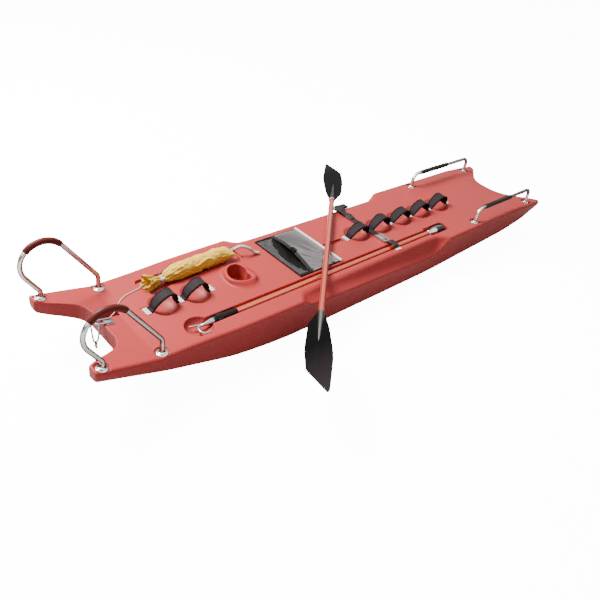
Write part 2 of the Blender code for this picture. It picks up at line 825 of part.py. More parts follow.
def stern_handle_path():
    """Path of a stern handle in (x, z), from its aft foot over the arch to its fore foot."""
    aft_x = STERN_X + STERN_FOOT_SETBACK
    fore_x = aft_x + STERN_HANDLE_SPAN
    seat = foot_place(aft_x, 1, FLANGE_THICKNESS / 2 - DIMPLE_DEPTH)
    root = foot_place(aft_x, 1, STERN_ROOT_HEIGHT)
    start, end = stern_arch_ends()
    arch = arch_points(math.degrees(start), math.degrees(end), 22)
    first = rounded(((seat.x, seat.z, 0), (root.x, root.z, STERN_ROOT_RADIUS), arch[0] + (0,)), closed=False)
    corner = (fore_x, DECK + STERN_BEND_RADIUS * 1.25)
    foot = (fore_x, deck_height(fore_x) - DIMPLE_DEPTH + FLANGE_THICKNESS / 2)
    bend = rounded((arch[-1] + (0,), corner + (STERN_BEND_RADIUS,), foot + (0,)), closed=False)
    return [tuple(point) for point in first[:-1]] + arch[:-1] + [tuple(point) for point in bend]


def bow_handle_path():
    """Path of a bow handle in (x, z), from its aft foot to its fore foot."""
    fore_x = BOW_X - BOW_FOOT_SETBACK
    aft_x = fore_x - BOW_HANDLE_SPAN
    seat = FLANGE_THICKNESS / 2 - DIMPLE_DEPTH
    top = DECK + BOW_HANDLE_UP
    corners = (
        (aft_x, deck_height(aft_x) + seat, 0),
        (aft_x, top, BOW_BEND_RADIUS),
        (fore_x, top, BOW_BEND_RADIUS),
        (fore_x, deck_height(fore_x) + seat, 0),
    )
    return [tuple(point) for point in rounded(corners, closed=False)]


def handle(name, path, side, feet):
    """Bent tube handle with a round flange welded on each foot."""
    y = side * HANDLE_Y
    points = [(x, y, z) for x, z in path]
    obj = tube(name, points, TUBE_RADIUS, PARTS, MATERIALS["steel"], TUBE_ROUNDNESS)
    for i, x in enumerate(feet):
        up = GAP - DIMPLE_DEPTH + FLANGE_THICKNESS / 2
        turn = Matrix.Rotation(deck_tilt(x), 4, "Y")
        flange = cylinder(f"add_{name}_flange_{i}", foot_place(x, side, up), FLANGE_RADIUS,
                          FLANGE_THICKNESS, CUTTERS, turn=turn, segments=24)
        combine(obj, flange, "UNION")
    return obj


def grip(name, path, core_path, side, material):
    """Rubber sleeve round a stretch of a handle's tube."""
    y = side * HANDLE_Y
    sleeve = tube(name, [(x, y, z) for x, z in path], GRIP_RADIUS, PARTS, MATERIALS[material], TUBE_ROUNDNESS)
    # The bore's flat sides clear the tube's corners.
    bore = (TUBE_RADIUS + GRIP_BORE_CLEARANCE) / math.cos(math.pi / (4 + 2 * TUBE_ROUNDNESS))
    core = tube("cut_" + name, [(x, y, z) for x, z in core_path], bore, CUTTERS, None, TUBE_ROUNDNESS)
    combine(sleeve, core, "DIFFERENCE")
    return sleeve


def arch_points(from_degrees, to_degrees, steps):
    """Points on the stern handle's arch between two angles."""
    centre = (STERN_ARCH_X, DECK + STERN_ARCH_UP)
    points = []
    for k in range(steps + 1):
        angle = math.radians(from_degrees + (to_degrees - from_degrees) * k / steps)
        points.append((centre[0] + STERN_ARCH_RADIUS * math.cos(angle),
                       centre[1] + STERN_ARCH_RADIUS * math.sin(angle)))
    return points


def handles():
    """The two stern and the two bow handles with their sleeves."""
    aft = STERN_X + STERN_FOOT_SETBACK
    fore = BOW_X - BOW_FOOT_SETBACK
    grip_aft = fore - BOW_HANDLE_SPAN + BOW_GRIP_AFT_OFFSET
    grip_fore = grip_aft + BOW_GRIP_LENGTH
    top = DECK + BOW_HANDLE_UP
    for side, name in ((1, "port"), (-1, "starboard")):
        handle(f"stern_handle_{name}", stern_handle_path(), side, (aft, aft + STERN_HANDLE_SPAN))
        low = math.degrees(stern_arch_ends()[1]) + STERN_GRIP_MARGIN
        high = low + STERN_GRIP_SWEEP
        grip(f"stern_grip_{name}", arch_points(low, high, 12), arch_points(low - 5, high + 5, 14), side,
             "red_rubber")
        handle(f"bow_handle_{name}", bow_handle_path(), side, (fore - BOW_HANDLE_SPAN, fore))
        grip(f"bow_grip_{name}", [(grip_aft, top), (grip_fore, top)],
             [(grip_aft - 0.010, top), (grip_fore + 0.010, top)], side, "black_rubber")


def loops_and_plates():
    """Webbing loops along the centreline and the plates that hold them down."""
    for name, x in loop_plates():
        low = (x - PLATE_LENGTH / 2, -PLATE_WIDTH / 2, DECK - PLATE_THICKNESS)
        high = (x + PLATE_LENGTH / 2, PLATE_WIDTH / 2, DECK)
        box(name, low, high, PARTS, MATERIALS["steel"])
    crests = iter(LOOP_CRESTS)
    for row, first, pitch, count in LOOP_ROWS:
        half_span = pitch / 2 - LOOP_FOOT_OFFSET
        tab = pitch / 2 - PLATE_LENGTH / 2 - 0.002
        for k in range(count):
            outline = loop_outline(half_span, tab, *next(crests))
            turn = Matrix(((1, 0, 0), (0, 0, -1), (0, 1, 0))).to_4x4()
            place = Matrix.Translation((first + (k + 0.5) * pitch, 0, DECK + GAP)) @ turn
            outline_solid(f"{row}_loop_{k + 1}", outline, LOOP_WIDTH, place, PARTS, MATERIALS["webbing"])


def loop_outline(half_span, tab, height, lean):
    """Side outline of a loop: a leaning arch that ends in two flat tabs."""
    steps = 14
    outer = []
    inner = []
    for k in range(steps + 1):
        angle = math.pi * k / steps
        cosine = math.cos(angle)
        across = math.copysign(abs(cosine) ** (2 / LOOP_FULLNESS), cosine)
        up = math.sin(angle) ** (2 / LOOP_FULLNESS)
        slide = lean * up
        reach = half_span + LOOP_THICKNESS
        outer.append((reach * across + slide, LOOP_TAB_THICKNESS + (height - LOOP_TAB_THICKNESS) * up))
        inner.append((half_span * across + slide, (height - LOOP_THICKNESS) * up))
    outline = [(tab, 0), (tab, LOOP_TAB_THICKNESS)] + outer
    outline += [(-tab, LOOP_TAB_THICKNESS), (-tab, 0)] + inner[::-1]
    return outline


def boat_hook():
    """Boat hook: steel head, black fittings, coloured tube, collar and ribbed end."""
    z = DECK - POLE_DOWN
    lie = Matrix.Rotation(math.radians(90), 4, "Y")

    def along(name, start, length, radius, material, end_radius=None):
        centre = (start + length / 2, POLE_Y, z)
        return cylinder(name, centre, radius, length - GAP, PARTS, MATERIALS[material],
                        top_radius=end_radius, turn=lie, segments=20)

    along("boat_hook_tube", POLE_AFT_X, POLE_FORE_X - POLE_AFT_X, POLE_RADIUS, "orange_tube")
    along("boat_hook_sleeve", POLE_AFT_X - SLEEVE_LENGTH, SLEEVE_LENGTH, SLEEVE_RADIUS, "black_plastic")
    along("boat_hook_socket", SOCKET_AFT_X, SOCKET_LENGTH, SOCKET_RADIUS, "black_plastic")
    along("boat_hook_collar", POLE_FORE_X, POLE_COLLAR_LENGTH, POLE_COLLAR_RADIUS * 0.8, "steel",
          end_radius=POLE_COLLAR_RADIUS)
    end_x = POLE_FORE_X + POLE_COLLAR_LENGTH
    along("boat_hook_end_grip", end_x, POLE_END_LENGTH, POLE_END_RADIUS, "black_rubber",
          end_radius=POLE_END_RADIUS * 0.72)

    shank_x = SOCKET_AFT_X - HOOK_SHANK_LENGTH
    head = along("boat_hook_head", shank_x, HOOK_SHANK_LENGTH, HOOK_ROD_RADIUS, "steel",
                 end_radius=SOCKET_RADIUS * 0.72)
    spike = [(shank_x + 0.006, POLE_Y, z), (shank_x - 0.010, POLE_Y + 0.008, z),
             (shank_x - 0.046, POLE_Y + 0.020, z)]
    centre = (shank_x + 0.002, POLE_Y - 0.026)
    hook = []
    for k in range(9):
        angle = math.radians(70 + 190 * k / 8)
        hook.append((centre[0] + 0.023 * math.cos(angle), centre[1] + 0.026 * math.sin(angle), z))
    hook.append((centre[0] + 0.016, centre[1] - 0.027, z))
    for name, path in (("spike", spike), ("prong", hook)):
        combine(head, tube("add_hook_" + name, path, HOOK_ROD_RADIUS * 0.85, CUTTERS), "UNION")


def bag_profile():
    """Profile of the throw bag as (distance from its neck, radius), from its mouth to its closed end."""
    return (
        (-BAG_MOUTH_LENGTH, BAG_MOUTH_RADIUS),
        (-0.55 * BAG_MOUTH_LENGTH, BAG_MOUTH_RADIUS * 0.74),
        (-0.010, BAG_NECK_RADIUS),
        (0.010, BAG_NECK_RADIUS),
        (0.034, BAG_RADIUS * 0.74),
        (0.080, BAG_RADIUS * 0.96),
        (0.150, BAG_RADIUS),
        (BAG_LENGTH - 0.060, BAG_RADIUS),
        (BAG_LENGTH - 0.016, BAG_RADIUS * 0.96),
        (BAG_LENGTH, BAG_RADIUS * 0.72),
    )


def bag_middle(radius):
    """Height of the bag's axis where it has a radius: its gathered ends hang part of the way down."""
    # The bag lies on a flat side of its rings.
    flat = math.cos(math.pi / BAG_SIDES)
    floor = DECK - TRAY_DEPTH + GAP
    return floor + radius * flat + (BAG_RADIUS - radius) * flat * 0.55


def bag_place():
    """Matrix from the bag's own lengths to the board, at the neck and along the bag."""
    turn = Matrix.Rotation(math.radians(BAG_YAW), 4, "Z")
    return Matrix.Translation((BAG_NECK_X, BAG_NECK_Y, 0)) @ turn


def bag_top(x, y, clearance):
    """Height over a point that clears the bag's upper side, or None beside the bag."""
    spot = bag_place().inverted() @ Vector((x, y, 0))
    profile = bag_profile()
    if not profile[0][0] - clearance <= spot.x <= profile[-1][0] + clearance:
        return None
    radius = np.interp(spot.x, [row[0] for row in profile], [row[1] for row in profile])
    middle = bag_middle(radius)
    if abs(spot.x) < TIE_WIDTH / 2 + TOGGLE_LENGTH / 2:
        # Round the neck the tie and its toggle stand out.
        radius = BAG_NECK_RADIUS + TIE_THICKNESS + 2 * TOGGLE_RADIUS + 2 * GAP
        middle = bag_middle(BAG_NECK_RADIUS) - TOGGLE_RADIUS / 2
    radius += clearance
    if abs(spot.y) >= radius:
        return None
    return middle + math.sqrt(radius ** 2 - spot.y ** 2)


def throw_bag():
    """Throw bag: cloth body gathered at its neck, tie, toggle and white tail."""
    place = bag_place()
    rings = []
    for along, radius in bag_profile():
        ring = []
        for k in range(BAG_SIDES):
            angle = 2 * math.pi * (k + 0.5) / BAG_SIDES
            up = bag_middle(radius) + radius * math.sin(angle)
            ring.append(place @ Vector((along, radius * math.cos(angle), up)))
        rings.append(ring)
    bag = loft("throw_bag", rings, PARTS, MATERIALS["yellow_cloth"])
    smooth_shade(bag, 60.0)

    neck = place @ Vector((0, 0, bag_middle(BAG_NECK_RADIUS)))
    turn = Matrix.Rotation(math.radians(BAG_YAW), 4, "Z") @ Matrix.Rotation(math.radians(90), 4, "Y")
    bore = BAG_NECK_RADIUS + GAP
    tie = cylinder("bag_tie", neck, bore + TIE_THICKNESS, TIE_WIDTH, PARTS, MATERIALS["white_plastic"], turn=turn)
    hole = cylinder("cut_bag_tie", neck, bore, TIE_WIDTH * 3, CUTTERS, turn=turn)
    combine(tie, hole, "DIFFERENCE")
    reach = bore + TIE_THICKNESS + GAP + TOGGLE_RADIUS
    spot = place @ Vector((-0.003, -reach * 0.83, bag_middle(BAG_NECK_RADIUS) + reach * 0.56))
    cylinder("bag_toggle", spot, TOGGLE_RADIUS, TOGGLE_LENGTH, PARTS, MATERIALS["white_plastic"],
             turn=turn, segments=14)

    start = place @ Vector((BAG_LENGTH + GAP, -0.004, DECK + 0.032))
    leave = place @ Vector((BAG_LENGTH + 0.012, -0.004, DECK + 0.032))
    tail = (
        leave,
        leave + Vector((0.034, -0.014, 0.016)),
        leave + Vector((0.074, -0.033, 0.004)),
        leave + Vector((0.100, -0.045, TAIL_RADIUS + 0.006 - 0.033)),
        leave + Vector((0.122, -0.056, TAIL_RADIUS + 0.001 - 0.033)),
    )
    tube("bag_tail", [start] + smooth_route(tail, 12), TAIL_RADIUS, PARTS, MATERIALS["white_plastic"], resolution=2)


def bag_cords():
    """Elastic cords that hold the throw bag down, taut from deck to deck over the bag."""
    steps = 40
    for name, x0, y0, x1, y1 in BAG_CORDS:
        rest = DECK + BAG_CORD_RADIUS + 2 * GAP
        line = []
        for k in range(steps + 1):
            x = x0 + (x1 - x0) * k / steps
            y = y0 + (y1 - y0) * k / steps
            top = bag_top(x, y, BAG_CORD_RADIUS + 4 * GAP)
            up = rest if top is None else max(rest, top)
            line.append(Vector((x, y, up)))
        taut = [line[0]]
        while taut[-1] is not line[-1]:
            here = line.index(taut[-1])
            ahead = line[here + 1:]
            climbs = [(point.z - line[here].z) / (number + 1) for number, point in enumerate(ahead)]
            taut.append(ahead[max(range(len(ahead)), key=lambda number: climbs[number])])
        tube(f"bag_cord_{name}", taut, BAG_CORD_RADIUS, PARTS, MATERIALS["black_cord"], resolution=1)


def smooth_route(points, steps):
    """Evenly stepped points on a smooth curve through a short list of points."""
    points = [Vector(point) for point in points]
    lengths = [0.0]
    for first, last in zip(points, points[1:]):
        lengths.append(lengths[-1] + (last - first).length)
    route = []
    for k in range(steps + 1):
        place = lengths[-1] * k / steps
        route.append(Vector([catmull(place, lengths, [point[axis] for point in points]) for axis in range(3)]))
    return route


def catmull(place, places, values):
    """Value at a place on a curve whose slope at each point follows its neighbours."""
    last = len(places) - 1
    row = int(np.clip(np.searchsorted(places, place) - 1, 0, last - 1))

    def slope(i):
        low = max(i - 1, 0)
        high = min(i + 1, last)
        return (values[high] - values[low]) / (places[high] - places[low])

    step = places[row + 1] - places[row]
    t = (place - places[row]) / step
    start = (1 + 2 * t) * (1 - t) ** 2 * values[row] + t * (1 - t) ** 2 * step * slope(row)
    end = t * t * (3 - 2 * t) * values[row + 1] - t * t * (1 - t) * step * slope(row + 1)
    return start + end


def pocket_mouth_x(y):
    """x of the pocket's mouth, which runs a little askew, at a distance to port."""
    share = (y - POCKET_STARBOARD_Y) / (POCKET_PORT_Y - POCKET_STARBOARD_Y)
    return POCKET_MOUTH_STARBOARD_X + (POCKET_MOUTH_PORT_X - POCKET_MOUTH_STARBOARD_X) * share


def pocket_bulge(x, y):
    """Height of the pocket's front cloth over its back panel: highest at the mouth, flat at its seams."""
    seam = POCKET_HEM / (POCKET_PORT_Y - POCKET_STARBOARD_Y)
    across = (y - POCKET_STARBOARD_Y) / (POCKET_PORT_Y - POCKET_STARBOARD_Y)
    across = min(1.0, max(0.0, (across - seam) / (1 - 2 * seam)))
    rise = math.sin(math.pi * across) * (0.70 + 0.30 * across)
    start = pocket_mouth_x(y) + POCKET_STRAP_WIDTH
    run = (x - start) / (POCKET_FORE_X - POCKET_HEM - start)
    return POCKET_BULGE * rise * (1 - max(0.0, min(1.0, run)) ** 1.3)


def pocket():
    """Cloth pocket: back panel, domed front with an open mouth, batten, strap and buckle."""
    floor = DECK + GAP
    back_top = floor + POCKET_CLOTH
    box("pocket_back_panel", (POCKET_AFT_X, POCKET_STARBOARD_Y, floor),
        (POCKET_FORE_X, POCKET_PORT_Y, back_top), PARTS, MATERIALS["grey_cloth"])

    base = back_top + GAP
    rows = 12
    inset = 0.006
    size_y = POCKET_PORT_Y - POCKET_STARBOARD_Y - 2 * inset
    places = [POCKET_STARBOARD_Y + inset + size_y * k / rows for k in range(rows + 1)]
    rings = []
    columns = 8
    for y in places:
        mouth = pocket_mouth_x(y)
        xs = [mouth, mouth + POCKET_STRAP_WIDTH]
        xs += [xs[1] + (POCKET_FORE_X - xs[1]) * (k + 1) / (columns - 1) for k in range(columns - 1)]
        low = [(x, y, base + pocket_bulge(x, y)) for x in xs]
        high = [(x, y, z + POCKET_CLOTH) for x, y, z in low]
        rings.append(low + high[::-1])
    front = loft("pocket_front_panel", rings, PARTS, MATERIALS["grey_cloth"])
    smooth_shade(front, 50.0)

    x = POCKET_FORE_X + BATTEN_RADIUS + GAP
    ends = [(x, POCKET_STARBOARD_Y - 0.004, floor + BATTEN_RADIUS), (x, POCKET_PORT_Y, floor + BATTEN_RADIUS)]
    tube("pocket_batten", ends, BATTEN_RADIUS, PARTS, MATERIALS["white_plastic"])

    # The strap follows the mouth's edge on top of the front cloth.
    rings = []
    edge = 0.0015
    for k, y in enumerate(places):
        before = places[max(k - 1, 0)]
        after = places[min(k + 1, rows)]
        mouth = pocket_mouth_x(y)
        climb = (pocket_bulge(mouth, after) - pocket_bulge(mouth, before)) / (after - before)
        low = base + pocket_bulge(mouth, y) + POCKET_CLOTH + GAP * (1 + math.hypot(1, climb))
        high = low + POCKET_STRAP_THICKNESS
        near = mouth + edge
        far = mouth + POCKET_STRAP_WIDTH - edge
        rings.append([(near, y, low), (far, y, low), (far, y, high), (near, y, high)])
    loft("pocket_strap", rings, PARTS, MATERIALS["webbing"])
    y = (POCKET_STARBOARD_Y + POCKET_PORT_Y) / 2 - 0.010
    half = POCKET_BUCKLE_LENGTH / 2
    centre_x = pocket_mouth_x(y) + POCKET_STRAP_WIDTH / 2
    crest = max(pocket_bulge(pocket_mouth_x(side), side) for side in (y - half, y, y + half))
    up = base + crest + POCKET_CLOTH + POCKET_STRAP_THICKNESS + 4 * GAP
    box("pocket_buckle", (centre_x - 0.013, y - half, up), (centre_x + 0.013, y + half, up + 0.006),
        PARTS, MATERIALS["black_plastic"], bevel=0.0015)


def cross_strap():
    """Strap over the boat hook: two lengths of webbing, cam buckle and two end plates."""
    bottom = DECK + STRAP_UP
    half_t = STRAP_THICKNESS / 2
    port_end = STRAP_PORT_Y - STRAP_ANCHOR_LENGTH
    buckle_port = BUCKLE_Y + BUCKLE_LENGTH / 2
    buckle_starboard = BUCKLE_Y - BUCKLE_LENGTH / 2
    low_z = DECK + 0.0022
    path = rounded((
        (buckle_port + GAP, bottom - 0.001, 0),
        (buckle_port + 0.040, bottom + 0.001, 0.060),
        (port_end - 0.060, bottom, 0.060),
        (port_end - GAP, low_z, 0),
    ), closed=False, steps=3)
    band("cross_strap", path, STRAP_THICKNESS, STRAP_WIDTH, (0, 1, 0), (STRAP_X, 0, 0), PARTS,
         MATERIALS["webbing"])
    starboard_end = STRAP_STARBOARD_Y + STRAP_ANCHOR_LENGTH
    crest = DECK + STRAP_HUMP
    path = rounded((
        (starboard_end + GAP, low_z, 0),
        (starboard_end + 0.004, low_z, 0.002),
        (starboard_end + 0.012, crest - 0.002, 0.009),
        (buckle_starboard - 0.018, crest, 0.018),
        (buckle_starboard - 0.006, bottom + 0.003, 0.004),
        (buckle_starboard - GAP, bottom + 0.003, 0),
    ), closed=False, steps=4)
    band("cross_strap_tail", path, STRAP_THICKNESS, STRAP_WIDTH, (0, 1, 0), (STRAP_X, 0, 0), PARTS,
         MATERIALS["webbing"])
    box("cam_buckle", (STRAP_X - BUCKLE_WIDTH / 2, buckle_starboard, bottom - half_t * 4),
        (STRAP_X + BUCKLE_WIDTH / 2, buckle_port, bottom - half_t * 4 + BUCKLE_THICKNESS),
        PARTS, MATERIALS["dull_steel"], bevel=0.002)
    for name, near, far in (("port", port_end, STRAP_PORT_Y), ("starboard", STRAP_STARBOARD_Y, starboard_end)):
        box(f"strap_anchor_{name}", (STRAP_X - STRAP_WIDTH / 2, near, DECK + GAP),
            (STRAP_X + STRAP_WIDTH / 2, far, DECK + 0.004), PARTS, MATERIALS["steel"])


def strap_fold():
    """Spare end of the cross strap, folded in three beside its port end."""
    half = FOLD_LENGTH / 2
    step = 0.0052
    path = rounded((
        (-half, 0, 0),
        (half, 0, 0.0024),
        (half + 0.001, step, 0.0024),
        (-half, step, 0.0024),
        (-half - 0.001, 2 * step, 0.0024),
        (half * 0.9, 2 * step, 0),
    ), closed=False, steps=3)
    x = STRAP_X + STRAP_WIDTH / 2 + half + 0.004
    y = STRAP_PORT_Y - FOLD_WIDTH / 2
    band("cross_strap_fold", path, STRAP_THICKNESS, FOLD_WIDTH, (1, 0, 0),
         (x, y, DECK + GAP + STRAP_THICKNESS / 2), PARTS, MATERIALS["webbing"])


def tow_gear():
    """Tow eye at the notch, snap hook on it, and the hook's gate and swivel."""
    bar_x = NOTCH_X - EYE_OVERHANG
    plate_x = NOTCH_X + 0.010 + EYE_PLATE_LENGTH / 2
    tilt = deck_tilt(plate_x)
    turn = Matrix.Rotation(tilt, 4, "Y")
    seat = Vector((plate_x, EYE_Y, deck_height(plate_x)))
    normal = Vector((math.sin(tilt), 0, math.cos(tilt)))
    centre = seat + normal * (GAP + EYE_PLATE_THICKNESS / 2)
    bm = bmesh.new()
    bmesh.ops.create_cube(bm, size=1.0)
    bmesh.ops.scale(bm, vec=(EYE_PLATE_LENGTH, EYE_PLATE_WIDTH, EYE_PLATE_THICKNESS), verts=bm.verts)
    bmesh.ops.transform(bm, matrix=Matrix.Translation(centre) @ turn, verts=bm.verts)
    eye = mesh_object("tow_eye", bm, PARTS, MATERIALS["steel"])
    bar_z = eye_rod_height(bar_x)
    bend = 0.005
    corners = []
    for side in (-1, 1):
        y = EYE_Y + side * EYE_HALF_WIDTH
        leg = [
            (plate_x, y, eye_rod_height(plate_x)),
            (bar_x + bend, y, eye_rod_height(bar_x + bend)),
            (bar_x, y - side * bend, bar_z),
        ]
        corners += leg if side < 0 else leg[::-1]
    rod = tube("add_eye_rod", corners, EYE_ROD_RADIUS, CUTTERS)
    combine(eye, rod, "UNION")

    # The snap hook hangs from the eye's bar, and its origin is on the bar's axis.
    top_z = EYE_ROD_RADIUS + 0.0006 + HOOK_WIRE_RADIUS
    top_centre = top_z - HOOK_TOP_RADIUS - HOOK_WIRE_RADIUS
    bottom_centre = top_centre - HOOK_LENGTH + HOOK_TOP_RADIUS + HOOK_BOTTOM_RADIUS
    top_reach = HOOK_TOP_RADIUS + HOOK_WIRE_RADIUS
    bottom_reach = HOOK_BOTTOM_RADIUS + HOOK_WIRE_RADIUS
    top = [(top_reach * math.cos(math.pi * k / 8), top_centre + top_reach * math.sin(math.pi * k / 8))
           for k in range(9)]
    bottom = [(bottom_reach * math.cos(math.pi * (1 + k / 8)),
               bottom_centre + bottom_reach * math.sin(math.pi * (1 + k / 8))) for k in range(9)]
    # The gate closes the side of the hook that faces away from the notch's wall.
    aft_top = Vector(top[-1])
    aft_bottom = Vector(bottom[0])
    side_length = (aft_bottom - aft_top).length
    along = (aft_bottom - aft_top) / side_length
    gate_from = aft_top + along * (side_length - HOOK_GATE_LENGTH) / 2
    gate_to = gate_from + along * HOOK_GATE_LENGTH
    pivot = Vector((bar_x, EYE_Y, bar_z))
    wire = [tuple(gate_to)] + bottom + top + [tuple(gate_from)]
    hook = tube("snap_hook", [pivot + Vector((x, 0, z)) for x, z in wire], HOOK_WIRE_RADIUS, PARTS,
                MATERIALS["steel"], resolution=2)
    set_origin(hook, pivot)
    ends = [gate_from + along * GAP, gate_to - along * GAP]
    gate = tube("snap_gate", [pivot + Vector((point.x, 0, point.y)) for point in ends], HOOK_GATE_RADIUS, PARTS,
                MATERIALS["dull_steel"], resolution=2)
    set_origin(gate, pivot)

    collar_z = bottom_centre - HOOK_BOTTOM_RADIUS - 2 * HOOK_WIRE_RADIUS
    swivel_z = collar_z - 0.010 - SWIVEL_RADIUS
    ball_centre = pivot + Vector((0, 0, collar_z - 0.005 - GAP))
    ball = cylinder("snap_swivel_collar", ball_centre, 0.006, 0.010 - 2 * GAP, PARTS, MATERIALS["black_plastic"],
                    segments=14)
    set_origin(ball, pivot)
    eye_ring = []
    for k in range(16):
        angle = 2 * math.pi * k / 16
        reach = SWIVEL_RADIUS - SWIVEL_WIRE_RADIUS
        eye_ring.append(pivot + Vector((0, reach * math.cos(angle), swivel_z + reach * math.sin(angle))))
    closed_ring("snap_swivel_eye", eye_ring, SWIVEL_WIRE_RADIUS, pivot, "steel")


def eye_rod_height(x):
    """Height of the tow eye's rod, which is welded half sunk on its plate."""
    return deck_height(x) + GAP + EYE_PLATE_THICKNESS + 0.7 * EYE_ROD_RADIUS


def set_origin(obj, origin):
    """Move an object's origin without moving its shape."""
    obj.data.transform(Matrix.Translation(-origin))
    obj.matrix_world = Matrix.Translation(origin)


def closed_ring(name, points, radius, origin, material):
    """Closed ring of round wire through a loop of points."""
    curve = bpy.data.curves.new(name, "CURVE")
    curve.dimensions = "3D"
    curve.bevel_depth = radius
    curve.bevel_resolution = 2
    spline = curve.splines.new("POLY")
    spline.points.add(len(points) - 1)
    for point, place_on in zip(spline.points, points):
        point.co = (*(place_on - origin), 1.0)
    spline.use_cyclic_u = True
    obj = bpy.data.objects.new(name, curve)
    obj.matrix_world = Matrix.Translation(origin)
    PARTS.objects.link(obj)
    curve.materials.append(MATERIALS[material])
    solid = as_mesh(obj, PARTS)
    smooth_shade(solid, 60.0)
    return solid


def rescue_line():
    """Thin white line that lies on the deck from the bag's mouth to the slot at the notch."""
    deck_line = DECK + LINE_RADIUS + 2 * GAP
    mouth = bag_place() @ Vector((-BAG_MOUTH_LENGTH - LINE_RADIUS, 0.010, DECK + 0.014))
    route = (
        mouth,
        mouth + Vector((-0.030, -0.004, deck_line + 0.001 - mouth.z)),
        (-1.245, 0.135, deck_line),
        (-1.300, 0.098, deck_line),
        (-1.320, 0.070, deck_line + 0.003),
        (-1.342, 0.054, deck_line + 0.001),
        (-1.366, 0.050, DECK - LINE_SLOT_DEPTH + LINE_RADIUS + 0.005),
        (-1.392, 0.050, DECK - LINE_SLOT_DEPTH + LINE_RADIUS + 0.001),
        (NOTCH_X + 0.004, 0.049, DECK - LINE_SLOT_DEPTH + LINE_RADIUS + 0.001),
    )
    tube("rescue_line", smooth_route(route, 40), LINE_RADIUS, PARTS, MATERIALS["white_cord"], resolution=2)


def blade_outline():
    """Outline of a blade as (distance from its neck, offset), wider on the side of its point."""
    long = BLADE_LENGTH
    wide = BLADE_HALF_WIDTH
    corners = (
        (0.000, -0.26 * wide, 0),
        (0.20 * long, -0.68 * wide, 0.25),
        (0.56 * long, -1.12 * wide, 0.60),
        (0.98 * long, -1.02 * wide, 0.03),
        (1.025 * long, -0.90 * wide, 0.006),
        (0.80 * long, 0.66 * wide, 0.05),
        (0.55 * long, 0.92 * wide, 0.45),
        (0.20 * long, 0.86 * wide, 0.13),
        (0.000, 0.26 * wide, 0),
    )
    return rounded(corners, steps=5)


def paddle():
    """Double-bladed paddle: shaft and two blades, resting on the pocket's batten."""
    z = DECK + GAP + 2 * BATTEN_RADIUS + GAP + PADDLE_SHAFT_RADIUS
    centre = Vector((PADDLE_X, PADDLE_Y, z))
    yaw = Matrix.Rotation(math.radians(PADDLE_YAW), 4, "Z")
    half_shaft = PADDLE_LENGTH / 2 - BLADE_LENGTH
    lie = Matrix.Rotation(math.radians(90), 4, "Y")
    cylinder("paddle_shaft", centre, PADDLE_SHAFT_RADIUS, 2 * half_shaft - 2 * GAP, PARTS,
             MATERIALS["orange_tube"], turn=yaw @ lie, segments=20)
    for name, turn in (("port", 0.0), ("starboard", math.pi)):
        spin = yaw @ Matrix.Rotation(turn, 4, "Z")
        neck = Matrix.Translation(centre) @ spin @ Matrix.Translation((half_shaft, 0, 0))
        outline = [(x, -y) for x, y in blade_outline()][::-1]
        blade = outline_solid(f"paddle_blade_{name}", outline, BLADE_THICKNESS, neck, PARTS,
                              MATERIALS["black_plastic"])
        socket_centre = neck @ Vector((BLADE_SOCKET_LENGTH / 2, 0, 0))
        socket = cylinder(f"add_socket_{name}", socket_centre, BLADE_SOCKET_RADIUS, BLADE_SOCKET_LENGTH,
                          CUTTERS, top_radius=0.006, turn=spin @ lie, segments=16)
        combine(blade, socket, "UNION")


clear_scene()
PARTS = new_collection("ice_rescue_board")
CUTTERS = new_collection("cutters")
MATERIALS = {name: make_material(name) for name in COLOURS}

hull()
handles()
loops_and_plates()
boat_hook()
throw_bag()
pocket()
bag_cords()
cross_strap()
strap_fold()
tow_gear()
rescue_line()
paddle()
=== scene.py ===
"""Looks of the ice rescue board: every piece that shows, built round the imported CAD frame.

The frame is in metres: +X points to the bow, +Y to port and +Z up, and the origin is on the floor
under the hull. Heights that are called up are measured from the flat middle of the deck.
"""

import math

import bpy
import numpy as np
from bpy.props import FloatProperty, FloatVectorProperty, PointerProperty
from mathutils import Matrix, Vector, noise


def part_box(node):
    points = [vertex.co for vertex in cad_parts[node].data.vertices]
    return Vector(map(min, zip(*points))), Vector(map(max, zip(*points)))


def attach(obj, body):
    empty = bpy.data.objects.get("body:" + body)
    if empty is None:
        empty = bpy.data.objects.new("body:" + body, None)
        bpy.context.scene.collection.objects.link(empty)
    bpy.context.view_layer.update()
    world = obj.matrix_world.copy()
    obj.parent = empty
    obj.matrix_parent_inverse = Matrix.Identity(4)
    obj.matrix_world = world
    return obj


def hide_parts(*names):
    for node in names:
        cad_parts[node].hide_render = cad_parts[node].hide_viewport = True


bl_info = {
    "name": "Ice rescue board",
    "version": (1, 0, 0),
    "blender": (4, 5, 0),
    "location": "View3D > Sidebar > Rescue board",
    "description": "Moulded rescue board with its handles, webbing and stowed gear",
    "category": "Add Mesh",
}

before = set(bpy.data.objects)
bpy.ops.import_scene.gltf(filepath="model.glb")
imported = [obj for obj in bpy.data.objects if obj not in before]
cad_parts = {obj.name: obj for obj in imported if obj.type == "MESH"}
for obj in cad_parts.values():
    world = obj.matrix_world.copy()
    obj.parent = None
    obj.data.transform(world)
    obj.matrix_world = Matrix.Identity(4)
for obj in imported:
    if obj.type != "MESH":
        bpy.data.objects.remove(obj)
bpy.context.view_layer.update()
GAP = 0.0003

